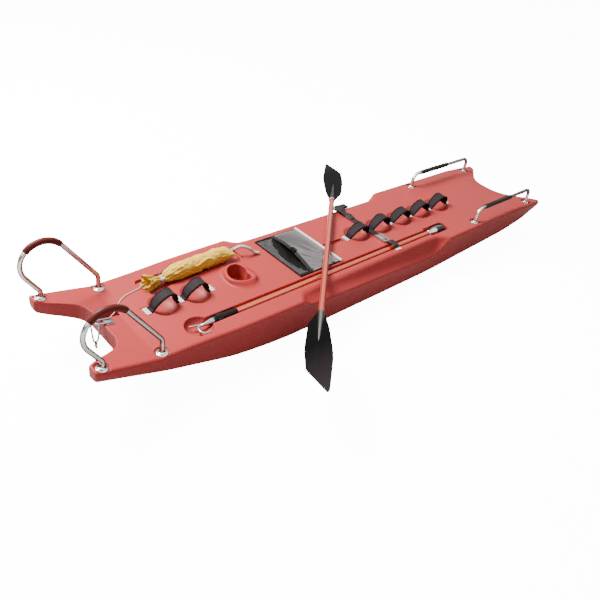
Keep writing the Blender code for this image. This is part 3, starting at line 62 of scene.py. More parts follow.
# Hull, as in the CAD source.
HULL_LENGTH = 3.20
HULL_WIDTH = 0.620
HULL_DEPTH = 0.215
DECK = HULL_DEPTH
STERN_X = -HULL_LENGTH / 2
BOW_X = HULL_LENGTH / 2
DECK_EDGE_RADIUS = 0.018
KEEL_EDGE_RADIUS = 0.034
SIDE_TUMBLEHOME = 0.020
HULL_TRIANGLES = 170000
STERN_RAMP_LENGTH = 0.270
STERN_RAMP_RISE = 0.055
STERN_CREASE_X = STERN_X + STERN_RAMP_LENGTH
BOW_RAMP_LENGTH = 0.303
BOW_RAMP_DROP = 0.022
BOW_CREASE_X = BOW_X - BOW_RAMP_LENGTH
# Columns: share of the length from the stern, share of the half width, keel height.
HULL_STATIONS = (
    (0.000, 0.910, 0.212),
    (0.060, 0.928, 0.150),
    (0.125, 0.936, 0.087),
    (0.219, 0.985, 0.026),
    (0.312, 1.000, 0.002),
    (0.360, 1.000, 0.000),
    (0.620, 0.985, 0.000),
    (0.740, 0.975, 0.020),
    (0.875, 0.968, 0.049),
    (0.940, 0.968, 0.089),
    (0.975, 0.960, 0.136),
    (1.000, 0.930, 0.174),
)
NOTCH_X = STERN_X + 0.177
BOW_ROOT_X = BOW_X - 0.223
# Columns: distance from the notch's root towards the stern, half width of the notch there.
NOTCH_OUTLINE = (
    (0.000, 0.092),
    (0.005, 0.115),
    (0.014, 0.135),
    (0.032, 0.155),
    (0.077, 0.178),
    (0.127, 0.197),
    (0.184, 0.226),
    (0.260, 0.258),
)
# Columns: distance from the recess's root towards the bow, half width of the recess there.
BOW_OUTLINE = (
    (0.000, 0.012),
    (0.003, 0.050),
    (0.018, 0.090),
    (0.048, 0.130),
    (0.093, 0.167),
    (0.153, 0.210),
    (0.192, 0.238),
    (0.209, 0.258),
    (0.213, 0.276),
    (0.203, 0.300),
    (0.180, 0.330),
)
INSET_HALF_WIDTH = 0.245
INSET_LEDGE_HALF_WIDTH = 0.283
INSET_LEDGE_SLOPE = 0.25
# Columns: x, how far the deck edge and the ledge stand out, depth of the ledge.
INSET_STATIONS = (
    (-0.640, 0.110, 0.060, -0.030),
    (-0.604, 0.066, 0.030, 0.002),
    (-0.580, 0.040, 0.016, 0.012),
    (-0.552, 0.014, 0.005, 0.026),
    (-0.525, 0.000, 0.000, 0.036),
    (-0.470, 0.000, 0.000, 0.042),
    (-0.190, 0.000, 0.000, 0.055),
    (0.130, 0.000, 0.000, 0.071),
    (0.340, 0.000, 0.000, 0.083),
    (0.430, 0.000, 0.000, 0.084),
    (0.488, 0.002, 0.002, 0.066),
    (0.526, 0.022, 0.010, 0.041),
    (0.570, 0.066, 0.030, 0.004),
    (0.606, 0.110, 0.060, -0.030),
)
COLLAR_X = -0.722
COLLAR_Y = 0.010
COLLAR_HEIGHT = 0.022
COLLAR_WELL_DEPTH = 0.064
# Columns: direction from the bow in degrees, radius of the well, of the rim and of the base.
COLLAR_OUTLINE = (
    (0, 0.045, 0.056, 0.088),
    (30, 0.055, 0.064, 0.090),
    (60, 0.067, 0.079, 0.097),
    (90, 0.065, 0.076, 0.098),
    (120, 0.058, 0.067, 0.091),
    (150, 0.053, 0.065, 0.080),
    (180, 0.057, 0.069, 0.077),
    (210, 0.063, 0.076, 0.087),
    (240, 0.064, 0.077, 0.100),
    (270, 0.066, 0.078, 0.111),
    (290, 0.070, 0.082, 0.109),
    (305, 0.060, 0.083, 0.104),
    (322, 0.043, 0.072, 0.096),
    (340, 0.039, 0.058, 0.089),
)

# Handles.
TUBE_RADIUS = 0.0105
GRIP_RADIUS = 0.0138
GRIP_EDGE_RADIUS = 0.0022
FLANGE_RADIUS = 0.025
FLANGE_THICKNESS = 0.004
FLANGE_SCREW_UP = 0.0037
FLANGE_SCREW_REACH = 0.0185
FLANGE_SCREW_RADIUS = 0.0032
DIMPLE_RADIUS = 0.031
DIMPLE_DEPTH = 0.006
HANDLE_Y = 0.251
STERN_FOOT_X = STERN_X + 0.040
STERN_HANDLE_SPAN = 0.255
STERN_ARCH_X = -1.530
STERN_ARCH_UP = 0.205
STERN_ARCH_RADIUS = 0.096
STERN_BEND_RADIUS = 0.050
STERN_ROOT_HEIGHT = 0.024
STERN_ROOT_RADIUS = 0.030
STERN_GRIP_MARGIN = 6.0
STERN_GRIP_SWEEP = 94.0
BOW_FOOT_X = BOW_X - 0.146
BOW_HANDLE_SPAN = 0.588
BOW_HANDLE_UP = 0.080
BOW_BEND_RADIUS = 0.045
BOW_GRIP_LENGTH = 0.280
BOW_GRIP_AFT_OFFSET = 0.070

# Webbing loops and their plates.
LOOP_WIDTH = 0.048
LOOP_CREST_SPREAD = 0.014
LOOP_THICKNESS = 0.008
LOOP_TAB_WIDTH = 0.038
LOOP_TAB_THICKNESS = 0.003
LOOP_FOOT_OFFSET = 0.0285
LOOP_AFT_FULLNESS = 1.75
LOOP_FORE_FULLNESS = 2.4
LOOP_SKEW = 0.27
LOOP_SWAY = 0.003
LOOP_ROLL = 0.10
LOOP_CUP = 0.0012
LOOP_CRUMPLE = 0.0011
SCOOP_HALF_WIDTH = 0.070
SCOOP_DEPTH = 0.024
SCOOP_RIM_RADIUS = 0.012
PLATE_LENGTH = 0.020
PLATE_THICKNESS = 0.003
PLATE_EDGE_RADIUS = 0.0007
PLATE_SCREW_Y = 0.012
PLATE_SCREW_RADIUS = 0.0030
SCREW_SINK = 0.0002
# Columns: name, first plate's x, plate pitch, number of loops.
LOOP_ROWS = (
    ("stern", -1.220, 0.1645, 2),
    ("bow", 0.000, 0.1800, 5),
)
# Columns: height of each loop's crest, how far the crest leans towards the bow.
LOOP_CRESTS = (
    (0.065, 0.002),
    (0.064, -0.006),
    (0.056, -0.002),
    (0.063, -0.010),
    (0.059, -0.005),
    (0.062, -0.010),
    (0.064, -0.006),
)

# Boat hook.
POLE_Y = -0.187
POLE_DOWN = 0.012
POLE_RADIUS = 0.0145
POLE_AFT_X = -0.886
POLE_FORE_X = 0.490
SLEEVE_LENGTH = 0.058
SLEEVE_RADIUS = 0.0175
SOCKET_LENGTH = 0.068
SOCKET_RADIUS = 0.0215
POLE_COLLAR_LENGTH = 0.068
POLE_COLLAR_RADIUS = 0.0262
POLE_END_LENGTH = 0.085
POLE_END_RADIUS = 0.0272
HOOK_POCKET_X = -1.090
HOOK_POCKET_RADIUS = 0.064
HOOK_POCKET_SHIFT = 0.010
HOOK_POCKET_FILLET = 0.040
GROOVE_HALF_WIDTH = 0.024
END_POCKET_HALF_WIDTH = 0.0375
END_POCKET_REACH = 0.163
END_POCKET_OVERLAP = 0.010
END_POCKET_DEPTH = 0.0398
HOOK_SHANK_LENGTH = 0.066

# Throw bag.
BAG_NECK = Vector((-1.058, 0.149, 0.0))
BAG_YAW = math.radians(2.9)
BAG_LENGTH = 0.408
BAG_RADIUS = 0.0385
BAG_NECK_RADIUS = 0.016
BAG_MOUTH_LENGTH = 0.082
BAG_MOUTH_RADIUS = 0.038
BAG_MOUTH_DEPTH = 0.050
BAG_SIDES = 16
BAG_PLEAT_TWIST = 0.24
TRAY_AFT_X = -1.158
TRAY_FORE_X = -0.600
TRAY_DEPTH = 0.012
TIE_WIDTH = 0.010
TIE_THICKNESS = 0.0025
TOGGLE_LENGTH = 0.022
TOGGLE_RADIUS = 0.008
TAIL_RADIUS = 0.0078
BAG_CORD_RADIUS = 0.0015
# Columns: name, x and y of the starboard end on the deck, x and y of the port end.
BAG_CORDS = (
    ("aft", -1.133, 0.094, -0.930, 0.252),
    ("fore", -0.632, 0.112, -0.704, 0.252),
)
LINE_RADIUS = 0.0022
LINE_SLOT_DEPTH = 0.016

# Pocket.
POCKET_AFT_X = -0.468
POCKET_FORE_X = -0.196
POCKET_STARBOARD_Y = -0.150
POCKET_PORT_Y = 0.205
POCKET_WIDTH = POCKET_PORT_Y - POCKET_STARBOARD_Y
POCKET_MOUTH_PORT_X = -0.362
POCKET_MOUTH_STARBOARD_X = -0.400
POCKET_HEM = 0.016
POCKET_BULGE = 0.026
POCKET_CLOTH = 0.003
POCKET_CRINKLE = 0.0045
LINING_REACH = 0.052
POCKET_STRAP_WIDTH = 0.020
BATTEN_RADIUS = 0.007

# Cross strap.
STRAP_X = 0.180
STRAP_WIDTH = 0.037
STRAP_THICKNESS = 0.002
STRAP_UP = GAP + LOOP_TAB_THICKNESS + GAP + STRAP_THICKNESS / 2
STRAP_PORT_Y = 0.272
SPARE_WIDTHS = (0.050, 0.056)
SPARE_THICKNESS = 0.0035
STRAP_STARBOARD_Y = -0.232
STRAP_ANCHOR_LENGTH = 0.014
BUCKLE_Y = -0.104
BUCKLE_LENGTH = 0.076
STRAP_HUMP = 0.020

# Tow eye and snap hook.
EYE_Y = 0.006
EYE_ROD_RADIUS = 0.004
EYE_HALF_WIDTH = 0.014
EYE_BEND_RADIUS = 0.009
EYE_BAR_X = NOTCH_X - 0.028
EYE_PLATE_X = NOTCH_X + 0.030
EYE_PLATE_LENGTH = 0.040
EYE_PLATE_WIDTH = 0.044
EYE_PLATE_THICKNESS = 0.003
EYE_SCREW_X = 0.013
EYE_SCREW_Y = 0.0178
EYE_SCREW_RADIUS = 0.0028
HOOK_WIRE_RADIUS = 0.0037
HOOK_LENGTH = 0.098
HOOK_TOP_RADIUS = 0.0150
HOOK_BOTTOM_RADIUS = 0.0075
HOOK_GATE_LENGTH = 0.042
HOOK_GATE_RADIUS = 0.0044
SWIVEL_BALL_LENGTH = 0.010
SWIVEL_RING_RADIUS = 0.008
SWIVEL_WIRE_RADIUS = 0.003

# Paddle.
PADDLE_LENGTH = 2.067
PADDLE_X = -0.206
PADDLE_Y = -0.059
PADDLE_YAW = math.radians(42.85)
SHAFT_RADIUS = 0.0148
BLADE_LENGTH = 0.487
BLADE_HALF_WIDTH = 0.061
BLADE_SOCKET_RADIUS = 0.0175
BLADE_SOCKET_LENGTH = 0.330

# Stage.
FLOOR_HALF_SIZE = 14.0
FLOOR_Z = -0.0005
# Columns: name, place, width, share of the main light's power.
LIGHTS = (
    ("main_light", (-1.9, 2.5, 4.1), 2.0, 1.0),
    ("side_light", (-4.4, -3.4, 3.2), 3.4, 0.065),
)
LIGHT_TARGET = (-0.4, 0.0, 0.1)
# Columns: height in the sky, brightness there.
WORLD_TONES = ((0.0, 0.50), (0.10, 0.24), (0.20, 0.12), (0.60, 0.14), (0.72, 0.85), (1.0, 1.20))
WORLD_GLOSSY_TONES = ((0.0, 0.45), (0.08, 0.10), (0.24, 0.12), (0.36, 2.10), (0.70, 2.30), (1.0, 2.00))
CAMERA_PLACE = (-2.3715, -1.8607, 1.9240)
CAMERA_TARGET = (-0.8039, -0.4697, 0.4150)
CAMERA_ROLL = 10.310


# Sizes and colours that a user would change.


def colour_property(name, description, default):
    """Colour that shows as a swatch."""
    return FloatVectorProperty(name=name, description=description, subtype="COLOR", size=3,
                               min=0.0, max=1.0, default=default)


def share_property(name, description, default):
    """Number from nothing to all."""
    return FloatProperty(name=name, description=description, subtype="FACTOR",
                         min=0.0, max=1.0, default=default)


def length_property(name, description, default):
    """Length in metres."""
    return FloatProperty(name=name, description=description, unit="LENGTH", min=0.0, default=default)


class HullLooks(bpy.types.PropertyGroup):
    """Moulded hull"""
    colour: colour_property("Colour", "Coral red of the moulded plastic", (0.300, 0.027, 0.026))
    worn_colour: colour_property("Worn colour", "Paler red where the skin is rubbed", (0.40, 0.10, 0.085))
    roughness: share_property("Roughness", "Roughness of the moulded skin", 0.44)
    edge_radius: length_property("Edge radius", "Rounding of the moulded edges", 0.004)
    grid_step: length_property("Grid step", "Spacing of the grid that the hull is drawn on", 0.0025)


class MetalLooks(bpy.types.PropertyGroup):
    """Steel fittings"""
    colour: colour_property("Steel", "Tint of the polished steel", (0.93, 0.90, 0.86))
    roughness: share_property("Roughness", "Roughness of the polished steel", 0.10)
    dull_colour: colour_property("Cast metal", "Tint of the cast buckle and gate", (0.30, 0.29, 0.28))


class RubberLooks(bpy.types.PropertyGroup):
    """Rubber sleeves"""
    red: colour_property("Red rubber", "Dark red of the stern sleeves", (0.085, 0.0085, 0.0070))
    black: colour_property("Black rubber", "Black of the bow sleeves", (0.008, 0.006, 0.006))


class WebbingLooks(bpy.types.PropertyGroup):
    """Loops and straps"""
    face: colour_property("Face", "Grey purple of the webbing's face", (0.0115, 0.0070, 0.0092))
    edge: colour_property("Edge", "Black of the webbing's edge and back", (0.003, 0.003, 0.003))
    thread: length_property("Thread", "Spacing of the webbing's threads", 0.0018)


class BagLooks(bpy.types.PropertyGroup):
    """Throw bag"""
    cloth: colour_property("Cloth", "Yellow of the bag's cloth", (0.66, 0.40, 0.045))
    white: colour_property("White", "White of the tie, the tail and the line", (0.50, 0.44, 0.40))
    cord: colour_property("Elastic", "Grey of the thin elastic cords", (0.06, 0.05, 0.05))


class PocketLooks(bpy.types.PropertyGroup):
    """Cloth pocket"""
    silver: colour_property("Silver cloth", "Silver grey of the pocket's cloth", (0.30, 0.27, 0.28))
    lining: colour_property("Lining", "Black of the lining and the binding", (0.003, 0.003, 0.003))


class GearLooks(bpy.types.PropertyGroup):
    """Boat hook and paddle"""
    tube: colour_property("Tube", "Orange of the lacquered tubes", (0.62, 0.20, 0.115))
    moulding: colour_property("Moulding", "Black of the blades and sockets", (0.003, 0.003, 0.003))
    socket: colour_property("Blade socket", "Pale grey of the blades' sockets", (0.50, 0.46, 0.45))


class StageLooks(bpy.types.PropertyGroup):
    """Floor, light and camera"""
    floor: colour_property("Floor", "Pale floor", (0.90, 0.90, 0.90))
    floor_glow: FloatProperty(name="Floor glow", description="Light that the floor itself gives", min=0.0,
                              default=14.0)
    key_power: FloatProperty(name="Main light", description="Power of the large soft light",
                             unit="POWER", min=0.0, default=900.0)
    lens: FloatProperty(name="Lens", description="Focal length of the camera", unit="CAMERA",
                        min=10.0, default=38.412)


class BoardLooks(bpy.types.PropertyGroup):
    """All looks of the board"""
    hull: PointerProperty(type=HullLooks)
    metal: PointerProperty(type=MetalLooks)
    rubber: PointerProperty(type=RubberLooks)
    webbing: PointerProperty(type=WebbingLooks)
    bag: PointerProperty(type=BagLooks)
    pocket: PointerProperty(type=PocketLooks)
    gear: PointerProperty(type=GearLooks)
    stage: PointerProperty(type=StageLooks)


# Curves and outlines.


def cubic_rows(at, places, values, slopes):
    """Values at places on a cubic curve through table rows that has a given slope at each row."""
    at = np.asarray(at, float)
    row = np.clip(np.searchsorted(places, at) - 1, 0, len(places) - 2)
    step = places[row + 1] - places[row]
    t = (at - places[row]) / step
    low = (1 + 2 * t) * (1 - t) ** 2 * values[row] + t * (1 - t) ** 2 * step * slopes[row]
    high = t * t * (3 - 2 * t) * values[row + 1] - t * t * (1 - t) * step * slopes[row + 1]
    return low + high


def smooth_rows(at, places, values):
    """Values at places on a smooth curve through table rows that never overshoots them."""
    places = np.array(places, float)
    values = np.array(values, float)
    steps = np.diff(places)
    slopes = np.diff(values) / steps
    tangents = np.zeros(len(places))
    tangents[[0, -1]] = slopes[[0, -1]]
    for i in range(1, len(places) - 1):
        if slopes[i - 1] * slopes[i] > 0:
            tangents[i] = 2 * slopes[i - 1] * slopes[i] / (slopes[i - 1] + slopes[i])
    return cubic_rows(at, places, values, tangents)


def followed(at, places, values):
    """Values on a curve whose slope at each row follows the rows beside it."""
    places = np.array(places, float)
    values = np.array(values, float)
    last = len(places) - 1
    below = np.maximum(np.arange(last + 1) - 1, 0)
    above = np.minimum(np.arange(last + 1) + 1, last)
    slopes = (values[above] - values[below]) / (places[above] - places[below])
    return cubic_rows(at, places, values, slopes)


def smooth_route(points, steps):
    """Evenly stepped points on a smooth curve through a short list of points."""
    points = np.array([tuple(point) for point in points], float)
    lengths = np.concatenate(([0.0], np.cumsum(np.linalg.norm(np.diff(points, axis=0), axis=1))))
    at = np.linspace(0, lengths[-1], steps + 1)
    return np.stack([followed(at, lengths, points[:, axis]) for axis in range(3)], axis=1)


def rounded(corners, closed=True, steps=10):
    """Points of an outline or path whose corners (x, y, radius) are rounded by arcs."""
    points = []
    count = len(corners)
    for i, (x, y, radius) in enumerate(corners):
        corner = Vector((x, y))
        if radius <= 0 or (not closed and i in (0, count - 1)):
            points.append(corner)
            continue
        before = (Vector(corners[i - 1][:2]) - corner).normalized()
        after = (Vector(corners[(i + 1) % count][:2]) - corner).normalized()
        half_angle = before.angle(after) / 2
        centre = corner + (before + after).normalized() * radius / math.sin(half_angle)
        first = corner + before * radius / math.tan(half_angle) - centre
        last = corner + after * radius / math.tan(half_angle) - centre
        sweep = math.pi - 2 * half_angle
        for k in range(steps + 1):
            w = k / steps
            along = first * math.sin((1 - w) * sweep) + last * math.sin(w * sweep)
            points.append(centre + along / math.sin(sweep))
    return [tuple(point) for point in points]


def deck_up(x):
    """How far the deck rises at the stern and falls at the bow."""
    rise = STERN_RAMP_RISE * np.maximum(0.0, STERN_CREASE_X - x) / STERN_RAMP_LENGTH
    fall = BOW_RAMP_DROP * np.maximum(0.0, x - BOW_CREASE_X) / BOW_RAMP_LENGTH
    return rise - fall


def deck_tilt(x):
    """Rotation about Y that lays a piece on the deck at x."""
    if x < STERN_CREASE_X:
        return math.atan2(STERN_RAMP_RISE, STERN_RAMP_LENGTH)
    if x > BOW_CREASE_X:
        return math.atan2(BOW_RAMP_DROP, BOW_RAMP_LENGTH)
    return 0.0


# Meshes.


def placed(name, data):
    """New object in the scene."""
    obj = bpy.data.objects.new(name, data)
    bpy.context.scene.collection.objects.link(obj)
    return obj


def piece(name, points, faces, material, body="board", stands_for=(), slot=None, sharp=40.0,
          extra_materials=(), face_slots=None, lengths=None):
    """Object from points and faces, smooth between its sharp edges, riding on a body."""
    mesh = bpy.data.meshes.new(name)
    mesh.from_pydata([tuple(point) for point in points], [], [tuple(face) for face in faces])
    mesh.validate()
    for entry in (material, *extra_materials):
        mesh.materials.append(entry)
    if face_slots is not None:
        mesh.polygons.foreach_set("material_index", np.array(face_slots, np.int32))
    if lengths is not None:
        layer = mesh.attributes.new("cloth_lengths", "FLOAT_VECTOR", "POINT")
        layer.data.foreach_set("vector", np.array(lengths, np.float32).ravel())
    mesh.update()
    mesh.shade_smooth()
    mesh.set_sharp_from_angle(angle=math.radians(sharp))
    obj = placed(name, mesh)
    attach(obj, body)
    if stands_for:
        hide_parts(*stands_for)
    return obj


def webbing_piece(name, shape, material, stands_for=()):
    """Piece of webbing from what strap_shape gives."""
    points, faces, lengths, _ = shape
    return piece(name, points, faces, material, stands_for=stands_for, slot="webbing", lengths=lengths, sharp=60.0)


def joined(parts):
    """Points and faces of several shapes as one."""
    points, faces, start = [], [], 0
    for part_points, part_faces in parts:
        points += [tuple(point) for point in part_points]
        faces += [tuple(start + i for i in face) for face in part_faces]
        start = len(points)
    return points, faces


def swept(stations, sides=24):
    """Closed round solid through stations of (centre, radius), by rings that never twist."""
    centres = np.array([tuple(row[0]) for row in stations], float)
    radii = np.array([row[1] for row in stations], float)
    count = len(centres)
    tangents = np.zeros((count, 3))
    for i in range(count):
        low, high = max(i - 1, 0), min(i + 1, count - 1)
        while low > 0 and np.allclose(centres[low], centres[i]):
            low -= 1
        while high < count - 1 and np.allclose(centres[high], centres[i]):
            high += 1
        tangents[i] = centres[high] - centres[low]
    tangents /= np.linalg.norm(tangents, axis=1)[:, None]
    side = Vector((0, 1, 0)) if abs(tangents[0][1]) < 0.9 else Vector((1, 0, 0))
    first = Vector(tangents[0])
    side = (side - first * side.dot(first)).normalized()
    points = []
    for i in range(count):
        here = Vector(tangents[i])
        if i:
            side.rotate(Vector(tangents[i - 1]).rotation_difference(here))
            side = (side - here * side.dot(here)).normalized()
        up = here.cross(side)
        for angle in round_angles(sides):
            reach = (side * math.cos(angle) + up * math.sin(angle)) * radii[i]
            points.append(Vector(centres[i]) + reach)
    return points, tube_faces(count, sides)


def round_angles(count):
    """Angles of points spread evenly round a circle."""
    return [2 * math.pi * k / count for k in range(count)]


def tube_faces(rings, sides, closed=False):
    """Faces of a tube of rings, capped at its ends or closed on itself."""
    faces = []
    for i in range(rings if closed else rings - 1):
        j = (i + 1) % rings
        for k in range(sides):
            m = (k + 1) % sides
            faces.append((i * sides + k, i * sides + m, j * sides + m, j * sides + k))
    if not closed:
        faces.append(tuple(range(sides))[::-1])
        faces.append(tuple(range((rings - 1) * sides, rings * sides)))
    return faces


def rod(path, radius, edge=0.0006):
    """Stations of a round rod along a path, with its two ends softened."""
    path = [Vector(tuple(point)) for point in path]
    ahead = (path[1] - path[0]).normalized()
    back = (path[-2] - path[-1]).normalized()
    stations = [(path[0] + ahead * edge * (1 - math.cos(a)), radius - edge * (1 - math.sin(a)))
                for a in (0.0, 0.5, 1.0, math.pi / 2)]
    stations += [(point, radius) for point in path[1:-1]]
    stations += [(path[-1] + back * edge * (1 - math.cos(a)), radius - edge * (1 - math.sin(a)))
                 for a in (math.pi / 2, 1.0, 0.5, 0.0)]
    return stations


def turned(origin, direction, profile, sides=32):
    """Solid of revolution from a profile of (distance, radius) along a direction."""
    origin = Vector(origin)
    direction = Vector(direction).normalized()
    centres = [origin + direction * along for along, _ in profile]
    points = []
    side = Vector((0, 1, 0)) if abs(direction.y) < 0.9 else Vector((1, 0, 0))
    side = (side - direction * side.dot(direction)).normalized()
    up = direction.cross(side)
    for centre, (_, radius) in zip(centres, profile):
        for angle in round_angles(sides):
            points.append(centre + (side * math.cos(angle) + up * math.sin(angle)) * radius)
    return points, tube_faces(len(profile), sides)


def box_shape(low, high, bevel, place=None):
    """Box with softened edges, as a chamfered block between two corners."""
    low, high = Vector(low), Vector(high)
    middle, half = (low + high) / 2, (high - low) / 2
    bevel = min(bevel, min(half) * 0.9)
    rings = []
    for z, inset in ((-half.z, bevel), (-half.z + bevel * 0.3, bevel * 0.3), (-half.z + bevel, 0.0),
                     (half.z - bevel, 0.0), (half.z - bevel * 0.3, bevel * 0.3), (half.z, bevel)):
        reach = max(bevel - inset, 0.0) + bevel * 0.25
        corners = ((-half.x + inset, -half.y + inset, reach), (half.x - inset, -half.y + inset, reach),
                   (half.x - inset, half.y - inset, reach), (-half.x + inset, half.y - inset, reach))
        rings += [middle + Vector((x, y, z)) for x, y in rounded(corners, steps=3)]
    points = [place @ point for point in rings] if place else rings
    return points, tube_faces(6, len(rings) // 6)


def strap_shape(path, across, width, thickness, columns=8, cup=0.0, border=0, under=False):
    """Closed strap along a path: its points, faces, lengths along and across, and which faces are edge or back."""
    path = np.array([tuple(point) for point in path], float)
    count = len(path)
    across = np.broadcast_to(np.array(across, float), path.shape)
    width = np.broadcast_to(np.asarray(width, float), (count,))
    thickness = np.broadcast_to(np.asarray(thickness, float), (count,))
    tangents = np.gradient(path, axis=0)
    tangents /= np.linalg.norm(tangents, axis=1)[:, None]
    normals = np.cross(tangents, across)
    normals /= np.linalg.norm(normals, axis=1)[:, None]
    run = np.concatenate(([0.0], np.cumsum(np.linalg.norm(np.diff(path, axis=0), axis=1))))
    spread = np.linspace(-1, 1, columns + 1)
    arc = [math.radians(a) for a in (-60, -25, 25, 60)]
    section = [(v, 0.0, 1.0) for v in spread]
    section += [(1.0, math.cos(a), math.sin(a)) for a in arc[::-1]]
    section += [(v, 0.0, -1.0) for v in spread[::-1]]
    section += [(-1.0, -math.cos(a), math.sin(a)) for a in arc]
    points, lengths = [], []
    for i in range(count):
        flat = width[i] / 2 - thickness[i] / 2
        for v, out, up in section:
            bow = cup * (1 - v * v)
            place = path[i] + across[i] * (v * flat + out * thickness[i] / 2)
            points.append(place + normals[i] * (up * thickness[i] / 2 + bow))
            lengths.append((run[i], v * flat + out * thickness[i] / 2, 0.0))
    size = len(section)
    faces = tube_faces(count, size)
    first = border + (columns + 5 if under else 0)
    last = first + columns - 2 * border
    kinds = [0 if first <= k < last else 1 for _ in range(count - 1) for k in range(size)] + [1, 1]
    return points, faces, lengths, kinds


def grid_points(rows, columns, place):
    """Grid of points, each worked out from its row and its column."""
    return np.array([[place(i, j) for j in range(columns + 1)] for i in range(rows + 1)], float)


def slab_shape(top, bottom):
    """Closed sheet between two grids of points of the same size."""
    rows, columns = top.shape[:2]
    number = np.arange(rows * columns).reshape(rows, columns)
    low = number + rows * columns
    faces = []
    for i in range(rows - 1):
        for j in range(columns - 1):
            faces.append((number[i, j], number[i + 1, j], number[i + 1, j + 1], number[i, j + 1]))
            faces.append((low[i, j], low[i, j + 1], low[i + 1, j + 1], low[i + 1, j]))
    rim = list(number[0, :]) + list(number[1:, -1]) + list(number[-1, -2::-1]) + list(number[-2:0:-1, 0])
    for a, b in zip(rim, rim[1:] + rim[:1]):
        faces.append((a, b, b + rows * columns, a + rows * columns))
    points = np.concatenate((top.reshape(-1, 3), bottom.reshape(-1, 3)))
    return points, faces


# Shader parts.


def put(tree, kind, values=(), **settings):
    """Add a node: its settings, then its sockets from plain values or from other nodes' outputs."""
    node = tree.nodes.new("ShaderNode" + kind)
    for key, value in settings.items():
        setattr(node, key, value)
    for key, value in dict(values).items():
        if isinstance(value, bpy.types.NodeSocket):
            tree.links.new(value, node.inputs[key])
        else:
            node.inputs[key].default_value = value
    return node


def math_node(tree, operation, first, second=0.0):
    """Value of one arithmetic step."""
    return put(tree, "Math", {0: first, 1: second}, operation=operation).outputs[0]


def blend_colours(tree, share, first, second, mode="MIX"):
    """Colour between two colours."""
    node = put(tree, "Mix", {0: share, 6: first, 7: second}, data_type="RGBA", blend_type=mode)
    return node.outputs[2]


def spread_value(tree, value, low, high, to_low=0.0, to_high=1.0):
    """Value moved from one range to another and kept in it."""
    node = put(tree, "MapRange",
               {"Value": value, "From Min": low, "From Max": high, "To Min": to_low, "To Max": to_high})
    return node.outputs["Result"]


def group(name, inputs, outputs):
    """Empty node group with named sockets: (name, kind, default) in and (name, kind) out."""
    tree = bpy.data.node_groups.new(name, "ShaderNodeTree")
    for label, kind, default in inputs:
        socket = tree.interface.new_socket(name=label, in_out="INPUT", socket_type="NodeSocket" + kind)
        socket.default_value = default
    for label, kind in outputs:
        tree.interface.new_socket(name=label, in_out="OUTPUT", socket_type="NodeSocket" + kind)
    return tree, tree.nodes.new("NodeGroupInput"), tree.nodes.new("NodeGroupOutput")


def moulded_skin():
    """Group: colour, roughness and grain of a moulded or coated skin, a little rubbed."""
    tree, taken, given = group("moulded_skin", (
        ("Colour", "Color", (0.5, 0.5, 0.5, 1)),
        ("Worn colour", "Color", (0.7, 0.7, 0.7, 1)),
        ("Wear", "Float", 0.3),
        ("Roughness", "Float", 0.4),
        ("Grain scale", "Float", 900.0),
        ("Cloud scale", "Float", 3.0),
    ), (("Colour", "Color"), ("Roughness", "Float"), ("Height", "Float")))
    at = put(tree, "TexCoord").outputs["Object"]
    cloud = put(tree, "TexNoise", {"Vector": at, "Scale": taken.outputs["Cloud scale"], "Detail": 3.0})
    grain = put(tree, "TexNoise", {"Vector": at, "Scale": taken.outputs["Grain scale"], "Detail": 2.0})
    stretched = put(tree, "VectorMath", {0: at, 1: (5.0, 60.0, 60.0)}, operation="MULTIPLY")
    scratch = put(tree, "TexNoise",
                  {"Vector": stretched.outputs[0], "Scale": 1.6, "Detail": 4.0, "Distortion": 0.8})
    rubbed = spread_value(tree, scratch.outputs["Fac"], 0.60, 0.74)
    patch = spread_value(tree, cloud.outputs["Fac"], 0.40, 0.66)
    rubbed = math_node(tree, "MULTIPLY", math_node(tree, "MULTIPLY", rubbed, patch), taken.outputs["Wear"])
    tone = spread_value(tree, cloud.outputs["Fac"], 0.25, 0.75, 0.93, 1.07)
    toned = put(tree, "VectorMath", {0: taken.outputs["Colour"], 1: tone}, operation="MULTIPLY")
    worn = blend_colours(tree, rubbed, toned.outputs[0], taken.outputs["Worn colour"])
    rough = math_node(tree, "ADD", taken.outputs["Roughness"],
                      spread_value(tree, cloud.outputs["Fac"], 0.3, 0.7, -0.035, 0.035))
    rough = math_node(tree, "ADD", rough, math_node(tree, "MULTIPLY", rubbed, 0.18))
    height = math_node(tree, "SUBTRACT", grain.outputs["Fac"], math_node(tree, "MULTIPLY", rubbed, 0.5))
    tree.links.new(worn, given.inputs["Colour"])
    tree.links.new(rough, given.inputs["Roughness"])
    tree.links.new(height, given.inputs["Height"])
    return tree


